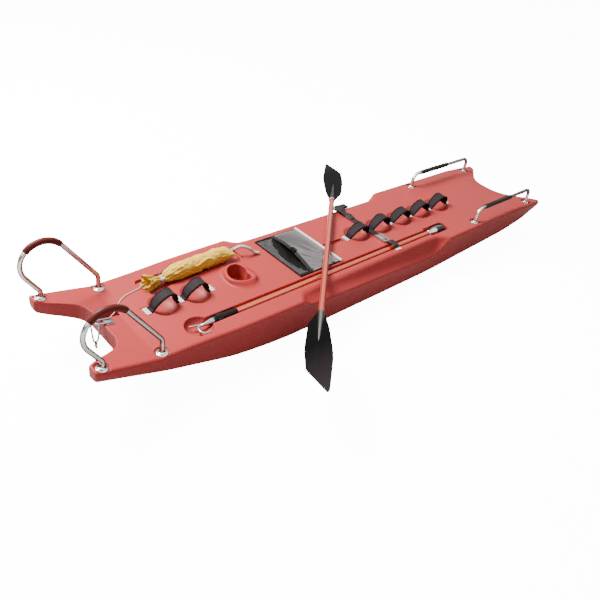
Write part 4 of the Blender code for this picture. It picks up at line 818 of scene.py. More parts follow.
def woven_threads():
    """Group: basket weave that follows the cloth's own lengths, darkened as painted shade where the threads sink."""
    tree, taken, given = group("woven_threads", (
        ("Colour", "Color", (0.5, 0.5, 0.5, 1)),
        ("Spacing", "Float", 0.002),
        ("Depth of tone", "Float", 0.4),
    ), (("Colour", "Color"), ("Height", "Float")))
    given_lengths = put(tree, "Attribute", attribute_name="cloth_lengths", attribute_type="GEOMETRY")
    at = given_lengths.outputs["Vector"]
    apart = put(tree, "SeparateXYZ", {0: at})
    turns = math_node(tree, "DIVIDE", math.pi, taken.outputs["Spacing"])
    along = math_node(tree, "SINE", math_node(tree, "MULTIPLY", apart.outputs[0], turns))
    across = math_node(tree, "SINE", math_node(tree, "MULTIPLY", apart.outputs[1], turns))
    over = math_node(tree, "GREATER_THAN", math_node(tree, "MULTIPLY", along, across), 0.0)
    warp = math_node(tree, "ABSOLUTE", across)
    weft = math_node(tree, "ABSOLUTE", along)
    height = put(tree, "Mix", {0: over, 2: weft, 3: warp}, data_type="FLOAT").outputs[0]
    fuzz = put(tree, "TexNoise", {"Vector": at, "Scale": 260.0, "Detail": 3.0}).outputs["Fac"]
    # Painted shade: the colour darkens where the threads sink and lightens on their crowns; the fuzz is the threads'
    # own random tone.
    shade = math_node(tree, "MULTIPLY", math_node(tree, "SUBTRACT", height, 0.6), taken.outputs["Depth of tone"])
    shade = math_node(tree, "ADD", shade, spread_value(tree, fuzz, 0.3, 0.7, 0.82, 1.18))
    colour = put(tree, "VectorMath", {0: taken.outputs["Colour"], 1: shade}, operation="MULTIPLY")
    tree.links.new(colour.outputs[0], given.inputs["Colour"])
    tree.links.new(height, given.inputs["Height"])
    return tree


def creased_cloth():
    """Group: small creases and a fine thread of thin cloth, with painted shade in the creases' hollows and a painted
    highlight on their ridges.
    """
    tree, taken, given = group("creased_cloth", (
        ("Colour", "Color", (0.5, 0.5, 0.5, 1)),
        ("Crease scale", "Float", 40.0),
        ("Depth of tone", "Float", 0.2),
    ), (("Colour", "Color"), ("Height", "Float")))
    at = put(tree, "TexCoord").outputs["Object"]
    crease = put(tree, "TexNoise",
                 {"Vector": at, "Scale": taken.outputs["Crease scale"], "Detail": 4.0, "Distortion": 0.6},
                 noise_type="RIDGED_MULTIFRACTAL").outputs["Fac"]
    thread = put(tree, "TexNoise", {"Vector": at, "Scale": 1400.0, "Detail": 1.0}).outputs["Fac"]
    height = math_node(tree, "ADD", math_node(tree, "MULTIPLY", crease, 0.8),
                       math_node(tree, "MULTIPLY", thread, 0.12))
    # Painted shade and highlight: the colour darkens in the creases' hollows and lightens on their ridges.
    shade = math_node(tree, "ADD", 1.0, math_node(
        tree, "MULTIPLY", math_node(tree, "SUBTRACT", crease, 0.5), taken.outputs["Depth of tone"]))
    colour = put(tree, "VectorMath", {0: taken.outputs["Colour"], 1: shade}, operation="MULTIPLY")
    tree.links.new(colour.outputs[0], given.inputs["Colour"])
    tree.links.new(height, given.inputs["Height"])
    return tree


GROUPS = {}
MATERIALS = {}


def effect(maker):
    """A shared effect, built by its maker the first time that it is asked for."""
    if maker not in GROUPS:
        GROUPS[maker] = maker()
    return GROUPS[maker]


def rgba(colour):
    """Colour with full alpha."""
    return (*colour, 1.0)


def finish_material(name, maker, values, bump, bump_distance, roughness=None, side=None, along=None,
                    **constants):
    """Material: one shared effect feeding a Principled shader whose constants are set on its sockets.

    side is (tone, start, end): painted light, a tone blended in where the surface turns away from the camera, against
    the base colour kept where it faces the camera; along is (tone, start, end), a tone reached between two distances
    from the centre plane.
    """
    if name in MATERIALS:
        return MATERIALS[name]
    material = MATERIALS[name] = bpy.data.materials.new(name)
    material.use_nodes = True
    tree = material.node_tree
    shader = tree.nodes["Principled BSDF"]
    detail = put(tree, "Group", node_tree=effect(maker))
    for key, value in values.items():
        detail.inputs[key].default_value = value
    relief = put(tree, "Bump",
                 {"Strength": bump, "Distance": bump_distance, "Height": detail.outputs["Height"]})
    colour = detail.outputs["Colour"]
    if along is not None:
        at = put(tree, "TexCoord").outputs["Object"]
        distance = math_node(tree, "ABSOLUTE", put(tree, "SeparateXYZ", {0: at}).outputs[1])
        colour = blend_colours(tree, spread_value(tree, distance, *along[1:]), colour, rgba(along[0]))
    # Painted light: the colour turns to the side tone by how far the surface turns away from the camera.
    if side is not None:
        facing = put(tree, "LayerWeight", {"Blend": 0.5}).outputs["Facing"]
        colour = blend_colours(tree, spread_value(tree, facing, *side[1:]), colour, rgba(side[0]))
    tree.links.new(colour, shader.inputs["Base Color"])
    tree.links.new(relief.outputs["Normal"], shader.inputs["Normal"])
    if "Roughness" in detail.outputs:
        tree.links.new(detail.outputs["Roughness"], shader.inputs["Roughness"])
    elif roughness is not None:
        shader.inputs["Roughness"].default_value = roughness
    for key, value in constants.items():
        shader.inputs[key.replace("_", " ")].default_value = value
    return material


def skin(name, colour, worn, roughness, wear=0.3, grain=900.0, cloud=3.0, bump=0.12, **constants):
    """Moulded, rubber, coated or metal material."""
    values = {"Colour": rgba(colour), "Worn colour": rgba(worn), "Wear": wear, "Roughness": roughness,
              "Grain scale": grain, "Cloud scale": cloud}
    return finish_material(name, moulded_skin, values, bump, 0.0004, **constants)


def webbing(name, colour, spacing, roughness=0.75, tone=0.5, **constants):
    """Woven strap material; tone sets the depth of the painted shade in the weave."""
    values = {"Colour": rgba(colour), "Spacing": spacing, "Depth of tone": tone}
    return finish_material(name, woven_threads, values, 0.5, 0.0004, roughness, **constants)


def cloth(name, colour, scale, tone, roughness, bump=0.5, **constants):
    """Thin cloth material; tone sets the depth of the painted shade and highlight of its creases."""
    values = {"Colour": rgba(colour), "Crease scale": scale, "Depth of tone": tone}
    return finish_material(name, creased_cloth, values, bump, 0.0012, roughness, **constants)


def looks():
    """The board's sizes and colours."""
    return bpy.context.scene.rescue_board


def polished_steel():
    """Polished stainless steel, with a painted dark reflection on the edges that turn away from the camera."""
    metal = looks().metal
    return skin("polished_steel", metal.colour, (0.62, 0.61, 0.60), metal.roughness, wear=0.25, grain=500.0,
                cloud=14.0, bump=0.02, Metallic=0.90, side=((0.075, 0.050, 0.045), 0.12, 0.50))


def plated_steel():
    """Pale plated steel of the small plates."""
    return skin("plated_steel", (0.60, 0.58, 0.55), (0.45, 0.43, 0.40), 0.38, wear=0.4, grain=600.0, cloud=40.0,
                bump=0.06, Metallic=0.35)


def forged_steel():
    """Grey forged steel."""
    return skin("forged_steel", (0.34, 0.34, 0.36), (0.50, 0.50, 0.52), 0.27, wear=0.4, grain=600.0, cloud=20.0,
                bump=0.05, Metallic=1.0)


def cast_metal():
    """Duller cast metal."""
    return skin("cast_metal", looks().metal.dull_colour, (0.40, 0.39, 0.38), 0.33, wear=0.5, grain=700.0,
                cloud=30.0, bump=0.10, Metallic=0.9)


def black_moulding():
    """Black moulded plastic."""
    return skin("black_moulding", looks().gear.moulding, (0.020, 0.016, 0.017), 0.34, wear=0.5, grain=800.0,
                cloud=9.0, bump=0.10, Specular_IOR_Level=0.12)


def orange_lacquer():
    """Orange lacquered tube: paler where it faces the camera as a painted highlight, deep orange at its grazing edges
    as painted shade.
    """
    return skin("orange_lacquer", looks().gear.tube, (0.66, 0.30, 0.20), 0.22, wear=0.25, grain=400.0,
                cloud=11.0, bump=0.03, Metallic=0.45, Coat_Weight=0.5, Coat_Roughness=0.12,
                side=((0.42, 0.042, 0.016), 0.03, 0.34))


def soft_rubber(name, colour, worn, roughness, shine, bump=0.25):
    """Rubber of a sleeve or a grip."""
    return skin(name, colour, worn, roughness, wear=0.3, grain=420.0, cloud=18.0, bump=bump,
                Specular_IOR_Level=shine)


def white_moulding():
    """White soft plastic."""
    return skin("white_moulding", looks().bag.white, (0.36, 0.31, 0.27), 0.42, wear=0.35, grain=600.0,
                cloud=25.0, bump=0.10)


def finish_plate(name):
    """Give one of the frame's small plates its steel and softer edges."""
    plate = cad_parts[name]
    plate.data.materials.clear()
    plate.data.materials.append(plated_steel())
    soften = plate.modifiers.new("Soft edges", "BEVEL")
    soften.width = PLATE_EDGE_RADIUS
    soften.segments = 2


# Hull.


def soft_max(first, second, radius):
    """Larger of two distances, with the edge between them rounded to a radius."""
    plain = np.maximum(first, second)
    arc = np.hypot(np.maximum(first + radius, 0), np.maximum(second + radius, 0)) - radius
    return np.where((first > -radius) & (second > -radius), arc, plain)


def cut(solid, tool, radius):
    """Take a tool out of a solid and round the edge that it leaves."""
    return soft_max(solid, -tool, radius)


def outline_distance(x, y, outline):
    """Distance to a closed outline, negative inside it."""
    nearest = np.full(np.broadcast(x, y).shape, np.inf)
    inside = np.zeros(nearest.shape, bool)
    for (x0, y0), (x1, y1) in zip(outline, outline[1:] + outline[:1]):
        dx, dy = x1 - x0, y1 - y0
        share = np.clip(((x - x0) * dx + (y - y0) * dy) / (dx * dx + dy * dy), 0, 1)
        nearest = np.minimum(nearest, (x - x0 - share * dx) ** 2 + (y - y0 - share * dy) ** 2)
        if dy:
            inside ^= ((y0 > y) != (y1 > y)) & (x < x0 + (y - y0) * dx / dy)
    return np.where(inside, -1.0, 1.0) * np.sqrt(nearest)


def end_outline(root_x, direction, table):
    """Outline of the opening in one end of the hull, on the side where y is positive and mirrored."""
    at = np.linspace(0, len(table) - 1, 41)
    rows = np.arange(len(table))
    x = root_x + direction * followed(at, rows, [row[0] for row in table])
    y = followed(at, rows, [row[1] for row in table])
    outside = root_x + direction * (table[-1][0] + 0.100)
    half = list(zip(x, y)) + [(outside, table[-1][1])]
    return half + [(a, -b) for a, b in half[::-1]]


def groove_tool(x, y, up):
    """Boat hook's groove and the round pocket at its head."""
    floor = POLE_DOWN + SOCKET_RADIUS + GAP
    end_x = POLE_FORE_X + POLE_COLLAR_LENGTH / 2
    channel = soft_max(np.abs(y - POLE_Y) - GROOVE_HALF_WIDTH, -up - floor, 0.016)
    channel = soft_max(channel, np.maximum(HOOK_POCKET_X - x, x - end_x), 0.004)
    wall = np.hypot(x - HOOK_POCKET_X, y - POLE_Y + HOOK_POCKET_SHIFT) - HOOK_POCKET_RADIUS
    return np.minimum(channel, soft_max(wall, -up - floor, HOOK_POCKET_FILLET))


END_POCKET = rounded((
    (POLE_FORE_X - END_POCKET_OVERLAP, POLE_Y - END_POCKET_HALF_WIDTH, 0.012),
    (POLE_FORE_X + END_POCKET_REACH, POLE_Y - END_POCKET_HALF_WIDTH, 0.030),
    (POLE_FORE_X + END_POCKET_REACH, POLE_Y + END_POCKET_HALF_WIDTH, 0.030),
    (POLE_FORE_X - END_POCKET_OVERLAP, POLE_Y + END_POCKET_HALF_WIDTH, 0.012),
), steps=5)
TRAY = rounded((
    (TRAY_AFT_X, 0.104, 0.020),
    (TRAY_FORE_X, 0.128, 0.020),
    (TRAY_FORE_X, 0.202, 0.020),
    (TRAY_AFT_X, 0.214, 0.020),
), steps=4)


def end_pocket_tool(x, y, up):
    """Deeper pocket round the boat hook's collar and end."""
    return soft_max(outline_distance(x, y, END_POCKET), -up - END_POCKET_DEPTH, 0.014)


def tray_tool(x, y, up):
    """Shallow tray under the throw bag."""
    return soft_max(outline_distance(x, y, TRAY), -up - TRAY_DEPTH, 0.005)


def waist_tool(x, y, up):
    """Long inset in both sides, with a broad slope down to its ledge."""
    places = [row[0] for row in INSET_STATIONS]
    edge, ledge, depth = (smooth_rows(np.clip(x, places[0], places[-1]), places, [row[i] for row in INSET_STATIONS])
                          for i in (1, 2, 3))
    edge = edge + INSET_HALF_WIDTH
    ledge = ledge + INSET_LEDGE_HALF_WIDTH
    out = np.abs(y)
    long = np.hypot(ledge - edge, depth)
    slope = -((out - edge) * depth + up * (ledge - edge)) / long
    floor = -((out - ledge) * INSET_LEDGE_SLOPE + (up + depth)) / math.hypot(1, INSET_LEDGE_SLOPE)
    return soft_max(slope, floor, 0.022)


def kidney_reach(x, y, column):
    """Radius of one column of the collar's outline in the direction of each point."""
    angles = np.array([row[0] for row in COLLAR_OUTLINE], float)
    radii = np.array([row[column] for row in COLLAR_OUTLINE])
    angles = np.concatenate((angles[-2:] - 360, angles, angles[:2] + 360))
    radii = np.concatenate((radii[-2:], radii, radii[:2]))
    fine = np.linspace(0, 360, 361)
    turn = np.degrees(np.arctan2(y - COLLAR_Y, x - COLLAR_X)) % 360
    return np.interp(turn, fine, followed(fine, angles, radii))


def collar_shape(x, y, up):
    """Raised wall of the collar."""
    rise = np.clip(up / (COLLAR_HEIGHT - 0.003), 0, 1)
    base, rim = kidney_reach(x, y, 3), kidney_reach(x, y, 2) * 1.03
    reach = base + (rim - base) * rise ** 0.75
    wall = (np.hypot(x - COLLAR_X, y - COLLAR_Y) - reach) / np.hypot(1, (base - rim) / COLLAR_HEIGHT)
    return np.maximum(soft_max(wall, up - COLLAR_HEIGHT, 0.006), -up - COLLAR_WELL_DEPTH - 0.030)


def well_tool(x, y, up):
    """Deep well inside the collar."""
    share = np.clip((up + COLLAR_WELL_DEPTH) / (COLLAR_HEIGHT + COLLAR_WELL_DEPTH), 0, 1)
    reach = kidney_reach(x, y, 1) * (0.90 + 0.10 * share)
    return soft_max(np.hypot(x - COLLAR_X, y - COLLAR_Y) - reach, -up - COLLAR_WELL_DEPTH, 0.014)


def scoop_tool(x, y, up, middle, half_length):
    """Dished hollow under a loop."""
    size = np.array((half_length, SCOOP_HALF_WIDTH, SCOOP_DEPTH))
    tiny = 1e-9
    near = np.sqrt(((x - middle) / size[0]) ** 2 + (y / size[1]) ** 2 + (up / size[2]) ** 2) + tiny
    steep = np.sqrt(((x - middle) / size[0] ** 2) ** 2 + (y / size[1] ** 2) ** 2 + (up / size[2] ** 2) ** 2) + tiny
    return near * (near - 1) / steep


def block_tool(x, y, z, low, high, radius):
    """Box-shaped hollow with rounded inner edges."""
    middle = [(a + b) / 2 for a, b in zip(low, high)]
    half = [(b - a) / 2 for a, b in zip(low, high)]
    sides = soft_max(np.abs(x - middle[0]) - half[0], np.abs(y - middle[1]) - half[1], radius)
    return soft_max(sides, np.abs(z - middle[2]) - half[2], radius)


def handle_feet():
    """Each foot of the four handles: its x and the side that it is on."""
    feet = []
    for side in (1, -1):
        feet += [(STERN_FOOT_X, side), (STERN_FOOT_X + STERN_HANDLE_SPAN, side)]
        feet += [(BOW_FOOT_X - BOW_HANDLE_SPAN, side), (BOW_FOOT_X, side)]
    return feet


def loop_plates():
    """Node name and x of each small plate on the centreline."""
    places = []
    for name, first, pitch, count in LOOP_ROWS:
        places += [(f"{name}_anchor_plate_{k + 1}", first + k * pitch) for k in range(count + 1)]
    return places


def end_tool(x, y, up, outline):
    """Opening in one end of the hull, through its full depth."""
    return outline_distance(x, y, outline)


def dimple_tool(x, y, up, foot_x, side):
    """Flat hollow under a handle's foot."""
    wall = np.hypot(x - foot_x, y - side * HANDLE_Y) - DIMPLE_RADIUS
    return soft_max(wall, -up - DIMPLE_DEPTH, 0.002)


def hull_features(edge):
    """Everything cut into the hull or raised on it: where it starts and ends along x, and its step."""
    def cutting(tool, radius, *shape):
        return lambda f, x, y, z, up: cut(f, tool(x, y, up, *shape), radius)

    def collar(f, x, y, z, up):
        return -soft_max(-f, -collar_shape(x, y, up), 0.007)

    def line_slot(f, x, y, z, up):
        low = (NOTCH_X - 0.030, 0.036, DECK - LINE_SLOT_DEPTH)
        return cut(f, block_tool(x, y, z, low, (NOTCH_X + 0.100, 0.064, DECK + 0.08), 0.004), 0.003)

    steps = [
        (-0.66, 0.63, cutting(waist_tool, 0.012)),
        (STERN_X - 0.1, NOTCH_X, cutting(end_tool, 0.006, end_outline(NOTCH_X, -1, NOTCH_OUTLINE))),
        (BOW_ROOT_X, BOW_X + 0.1, cutting(end_tool, 0.012, end_outline(BOW_ROOT_X, 1, BOW_OUTLINE))),
        (COLLAR_X - 0.12, COLLAR_X + 0.12, collar),
        (COLLAR_X - 0.10, COLLAR_X + 0.10, cutting(well_tool, 0.005)),
        (HOOK_POCKET_X - 0.08, POLE_FORE_X + 0.04, cutting(groove_tool, 0.0045)),
        (POLE_FORE_X - END_POCKET_OVERLAP, POLE_FORE_X + 0.17, cutting(end_pocket_tool, edge)),
        (TRAY_AFT_X, TRAY_FORE_X, cutting(tray_tool, 0.003)),
    ]
    for foot_x, side in handle_feet():
        steps.append((foot_x - 0.04, foot_x + 0.04, cutting(dimple_tool, 0.002, foot_x, side)))
    for _, first, pitch, count in LOOP_ROWS:
        for k in range(count):
            scoop = cutting(scoop_tool, SCOOP_RIM_RADIUS, first + (k + 0.5) * pitch,
                            pitch / 2 - LOOP_FOOT_OFFSET + 0.004)
            steps.append((first + k * pitch, first + (k + 1) * pitch, scoop))
    for _, plate_x in loop_plates():
        recess = cutting(block_tool, 0.0012, (plate_x - 0.016, -0.029, -PLATE_THICKNESS - GAP),
                         (plate_x + 0.016, 0.029, 0.03), 0.0012)
        steps.append((plate_x - 0.02, plate_x + 0.02, recess))
    deck_slot = cutting(block_tool, 0.002, (POCKET_FORE_X + 2 * BATTEN_RADIUS + 0.004, -0.014, -0.012),
                        (-0.028, 0.014, 0.03), 0.003)
    steps.append((NOTCH_X - 0.03, NOTCH_X + 0.11, line_slot))
    steps.append((-0.19, -0.02, deck_slot))
    return steps


HULL_PLACES = np.linspace(STERN_X - 0.05, BOW_X + 0.05, 1321)
HULL_SHARES = np.clip((HULL_PLACES - STERN_X) / HULL_LENGTH, 0, 1)
HULL_HALF_WIDTHS = smooth_rows(HULL_SHARES, [r[0] for r in HULL_STATIONS], [r[1] for r in HULL_STATIONS])
HULL_KEELS = smooth_rows(HULL_SHARES, [r[0] for r in HULL_STATIONS], [r[2] for r in HULL_STATIONS])


def hull_field(x, y, z, features):
    """How far points lie outside the moulded hull, negative inside; their x spans a short stretch."""
    half = np.interp(x, HULL_PLACES, HULL_HALF_WIDTHS) * HULL_WIDTH / 2
    keel = np.interp(x, HULL_PLACES, HULL_KEELS)
    deck = DECK + deck_up(x)
    up = z - deck
    side = np.abs(y) - half - SIDE_TUMBLEHOME * up / HULL_DEPTH
    solid = soft_max(up, side, np.minimum(DECK_EDGE_RADIUS, 0.35 * (deck - keel)))
    solid = soft_max(solid, keel - z, np.minimum(KEEL_EDGE_RADIUS, 0.45 * (deck - keel)))
    solid = soft_max(solid, np.maximum(STERN_X - x, x - BOW_X), 0.012)
    low, high = x.min(), x.max()
    for start, end, step in features:
        if start - 0.02 < high and low < end + 0.02:
            solid = step(solid, x, y, z, up)
    return solid


def in_stretches(points, size, work):
    """Run work on sorted stretches of points along x and join the results."""
    order = np.argsort(points[:, 0], kind="stable")
    result = None
    for start in range(0, len(points), size):
        chosen = order[start:start + size]
        value = work(points[chosen])
        if result is None:
            result = np.zeros((len(points),) + value.shape[1:])
        result[chosen] = value
    return result


def field_slopes(points, features):
    """Value of the hull's field and its slope at points, as four columns."""
    def work(some):
        x, y, z = some.T
        step = 0.0004
        columns = [hull_field(x, y, z, features)]
        for axis in range(3):
            shift = np.zeros(3)
            shift[axis] = step
            ahead = hull_field(*(some + shift).T, features)
            behind = hull_field(*(some - shift).T, features)
            columns.append((ahead - behind) / (2 * step))
        return np.stack(columns, axis=1)
    return in_stretches(points, 6000, work)


def settle(points, features, times):
    """Move points onto the hull's surface."""
    for _ in range(times):
        found = field_slopes(points, features)
        slope = found[:, 1:]
        steep = np.maximum((slope ** 2).sum(axis=1), 0.05)
        move = np.clip(found[:, 0] / steep, -0.002, 0.002)[:, None] * slope
        points = points - move
    return points


def net_of_surface(field, axes):
    """Vertices and quads of the surface where a field on a grid changes sign, one vertex in each cell."""
    inside = field < 0
    total = np.zeros(tuple(n - 1 for n in field.shape), np.int8)
    corners = [(a, b, c) for a in (0, 1) for b in (0, 1) for c in (0, 1)]
    for a, b, c in corners:
        total += inside[a:a + total.shape[0], b:b + total.shape[1], c:c + total.shape[2]]
    cells = np.argwhere((total > 0) & (total < 8))
    number = np.full(total.shape, -1, np.int32)
    number[tuple(cells.T)] = np.arange(len(cells))
    position = np.zeros((len(cells), 3))
    weight = np.zeros(len(cells))
    for axis in range(3):
        for corner in corners:
            if corner[axis]:
                continue
            first = cells + np.array(corner)
            last = first.copy()
            last[:, axis] += 1
            f0, f1 = field[tuple(first.T)], field[tuple(last.T)]
            crossing = (f0 < 0) != (f1 < 0)
            share = np.where(crossing, f0 / np.where(crossing, f0 - f1, 1), 0)
            place = np.stack([axes[k][first[:, k]] for k in range(3)], axis=1)
            place[:, axis] += share * (axes[axis][last[:, axis]] - axes[axis][first[:, axis]])
            position += np.where(crossing[:, None], place, 0)
            weight += crossing
    position /= weight[:, None]
    quads = []
    around = {
        0: ((0, -1, -1), (0, 0, -1), (0, 0, 0), (0, -1, 0)),
        1: ((-1, 0, -1), (-1, 0, 0), (0, 0, 0), (0, 0, -1)),
        2: ((-1, -1, 0), (0, -1, 0), (0, 0, 0), (-1, 0, 0)),
    }
    for axis in range(3):
        low = [slice(1, -1)] * 3
        high = [slice(1, -1)] * 3
        low[axis] = slice(0, -1)
        high[axis] = slice(1, None)
        first, last = inside[tuple(low)], inside[tuple(high)]
        start = np.ones(3, int)
        start[axis] = 0
        for filled, order in ((first & ~last, 1), (last & ~first, -1)):
            edges = np.argwhere(filled) + start
            ring = [number[tuple((edges + np.array(offset)).T)] for offset in around[axis]]
            quads.append(np.stack(ring[::order], axis=1))
    return position, np.concatenate(quads)


def banded_grid(axes, step, features):
    """Field of the hull on a grid, worked out in small blocks and only where the surface may be."""
    block = 8
    reach = 0.95 * block * step
    grid = np.ones([len(axis) for axis in axes], np.float32)
    starts = [np.arange(0, len(axis), block) for axis in axes]
    middles = [axis[np.minimum(start + block // 2, len(axis) - 1)] for axis, start in zip(axes, starts)]
    for i, x0 in zip(starts[0], middles[0]):
        near = hull_field(np.full((1, 1), x0), middles[1][:, None], middles[2][None, :], features)
        grid[i:i + block] = np.where(np.repeat(np.repeat(near, block, 0), block, 1) < 0, -1, 1)[
            None, :grid.shape[1], :grid.shape[2]]
        for row, column in np.argwhere(np.abs(near) < reach * 1.5):
            j, k = starts[1][row], starts[2][column]
            x = axes[0][i:i + block, None, None]
            grid[i:i + block, j:j + block, k:k + block] = hull_field(
                x, axes[1][None, j:j + block, None], axes[2][None, None, k:k + block], features)
    return grid


def hull_mesh(step, edge, keep_triangles):
    """Mesh of the moulded hull with its normals: netted on a grid, settled and thinned out."""
    features = hull_features(edge)
    margin = 2 * step
    axes = [
        np.arange(STERN_X - margin, BOW_X + margin, step),
        np.arange(-HULL_WIDTH / 2 - margin, HULL_WIDTH / 2 + margin, step),
        np.arange(-margin, DECK + STERN_RAMP_RISE + margin, step),
    ]
    points, quads = net_of_surface(banded_grid(axes, step, features), axes)
    points = settle(points, features, 2)
    mesh = bpy.data.meshes.new("hull_net")
    mesh.vertices.add(len(points))
    mesh.vertices.foreach_set("co", points.astype(np.float32).ravel())
    mesh.loops.add(quads.size)
    mesh.loops.foreach_set("vertex_index", quads.astype(np.int32).ravel())
    mesh.polygons.add(len(quads))
    mesh.polygons.foreach_set("loop_start", np.arange(0, quads.size, 4, dtype=np.int32))
    mesh.update(calc_edges=True)
    mesh.validate()
    net = placed("hull_net", mesh)
    thin = net.modifiers.new("Thin out", "DECIMATE")
    thin.ratio = min(1.0, keep_triangles / (2 * len(quads)))
    thin.use_collapse_triangulate = True
    bpy.context.view_layer.update()
    result = bpy.data.meshes.new_from_object(net.evaluated_get(bpy.context.evaluated_depsgraph_get()))
    bpy.data.objects.remove(net)
    bpy.data.meshes.remove(mesh)
    points = np.zeros(len(result.vertices) * 3)
    result.vertices.foreach_get("co", points)
    points = settle(points.reshape(-1, 3), features, 1)
    result.vertices.foreach_set("co", points.astype(np.float32).ravel())
    normals = field_slopes(points, features)[:, 1:]
    normals /= np.maximum(np.linalg.norm(normals, axis=1), 1e-6)[:, None]
    result.update()
    result.shade_smooth()
    result.normals_split_custom_set_from_vertices(normals.astype(np.float32))
    return result


class RESCUEBOARD_OT_hull(bpy.types.Operator):
    """Moulded hull with everything that is cut into it, drawn on a fine grid with soft edges"""
    bl_idname = "rescueboard.hull"
    bl_label = "Hull"

    def execute(self, context):
        """Build the hull."""
        hull = looks().hull
        step = hull.grid_step
        mesh = hull_mesh(step, hull.edge_radius, HULL_TRIANGLES)
        mesh.name = "hull_moulding"
        mesh.materials.clear()
        mesh.materials.append(skin("coral_plastic", hull.colour, hull.worn_colour, hull.roughness, wear=0.22,
                                   grain=520.0, cloud=2.2, bump=0.16, Specular_IOR_Level=0.17))
        obj = placed("hull_moulding", mesh)
        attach(obj, "board")
        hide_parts("hull")
        return {"FINISHED"}


# Handles.


def foot_place(x, side, up):
    """Point over a foot, measured square to the deck there."""
    tilt = deck_tilt(x)
    return Vector((x, side * HANDLE_Y, DECK + deck_up(x))) + Vector((math.sin(tilt), 0, math.cos(tilt))) * up


def tangent_angle(centre, radius, outside, turn):
    """Angle on a circle of the point whose tangent runs through an outside point."""
    away = Vector(outside) - Vector(centre)
    return math.atan2(away.y, away.x) + turn * math.acos(radius / away.length)


def arch_points(start, end, steps):
    """Points on the stern handle's arch between two angles."""
    return [(STERN_ARCH_X + STERN_ARCH_RADIUS * math.cos(start + (end - start) * k / steps),
             DECK + STERN_ARCH_UP + STERN_ARCH_RADIUS * math.sin(start + (end - start) * k / steps))
            for k in range(steps + 1)]


def stern_arch_ends():
    """Angles at which a stern handle's straight legs meet its arch, aft leg first."""
    centre = (STERN_ARCH_X, DECK + STERN_ARCH_UP)
    root = foot_place(STERN_FOOT_X, 1, STERN_ROOT_HEIGHT)
    corner = (STERN_FOOT_X + STERN_HANDLE_SPAN, DECK + STERN_BEND_RADIUS * 1.25)
    start = tangent_angle(centre, STERN_ARCH_RADIUS, (root.x, root.z), -1) % (2 * math.pi)
    end = tangent_angle(centre, STERN_ARCH_RADIUS, corner, 1) % (2 * math.pi)
    return start, end


def stern_handle_path():
    """Path of a stern handle in (x, z), from its aft foot over the arch to its fore foot."""
    fore_x = STERN_FOOT_X + STERN_HANDLE_SPAN
    seat = foot_place(STERN_FOOT_X, 1, FLANGE_THICKNESS / 2 - DIMPLE_DEPTH)
    root = foot_place(STERN_FOOT_X, 1, STERN_ROOT_HEIGHT)
    arch = arch_points(*stern_arch_ends(), 48)
    first = rounded(((seat.x, seat.z, 0), (root.x, root.z, STERN_ROOT_RADIUS), arch[0] + (0,)), closed=False)
    corner = (fore_x, DECK + STERN_BEND_RADIUS * 1.25)
    foot = (fore_x, DECK + deck_up(fore_x) - DIMPLE_DEPTH + FLANGE_THICKNESS / 2)
    bend = rounded((arch[-1] + (0,), corner + (STERN_BEND_RADIUS,), foot + (0,)), closed=False)
    return first[:-1] + arch[:-1] + bend


def bow_handle_path():
    """Path of a bow handle in (x, z), from its aft foot to its fore foot."""
    aft_x = BOW_FOOT_X - BOW_HANDLE_SPAN
    seat = FLANGE_THICKNESS / 2 - DIMPLE_DEPTH
    top = DECK + BOW_HANDLE_UP
    return rounded((
        (aft_x, DECK + deck_up(aft_x) + seat, 0),
        (aft_x, top, BOW_BEND_RADIUS),
        (BOW_FOOT_X, top, BOW_BEND_RADIUS),
        (BOW_FOOT_X, DECK + deck_up(BOW_FOOT_X) + seat, 0),
    ), closed=False)


def screw_head(place, axis, radius):
    """Small domed screw head with a round recess in its top."""
    profile = [(0.0, radius), (radius * 0.25, radius * 0.98), (radius * 0.45, radius * 0.78),
               (radius * 0.55, radius * 0.42), (radius * 0.56, radius * 0.40), (radius * 0.30, radius * 0.30),
               (radius * 0.30, radius * 0.02)]
    return turned(place, axis, profile, sides=14)


def flange_shapes(foot_x, side):
    """Domed disc under a handle's foot, its weld and its three screws."""
    tilt = deck_tilt(foot_x)
    axis = Vector((math.sin(tilt), 0, math.cos(tilt)))
    base = foot_place(foot_x, side, GAP - DIMPLE_DEPTH)
    disc = [(0.0, FLANGE_RADIUS * 0.97), (0.0008, FLANGE_RADIUS), (0.0020, FLANGE_RADIUS),
            (0.0031, FLANGE_RADIUS * 0.965), (0.0038, FLANGE_RADIUS * 0.86), (0.0043, FLANGE_RADIUS * 0.66),
            (0.0048, TUBE_RADIUS + 0.0038), (0.0062, TUBE_RADIUS + 0.0016), (0.0092, TUBE_RADIUS + 0.0002)]
    shapes = [turned(base, axis, disc, sides=48)]
    ahead = Vector((math.cos(tilt), 0, -math.sin(tilt)))
    for k in range(3):
        angle = math.radians(30 + 120 * k)
        out = ahead * math.cos(angle) + Vector((0, 1, 0)) * math.sin(angle)
        spot = base + axis * FLANGE_SCREW_UP + out * FLANGE_SCREW_REACH
        shapes.append(screw_head(spot, axis, FLANGE_SCREW_RADIUS))
    return shapes


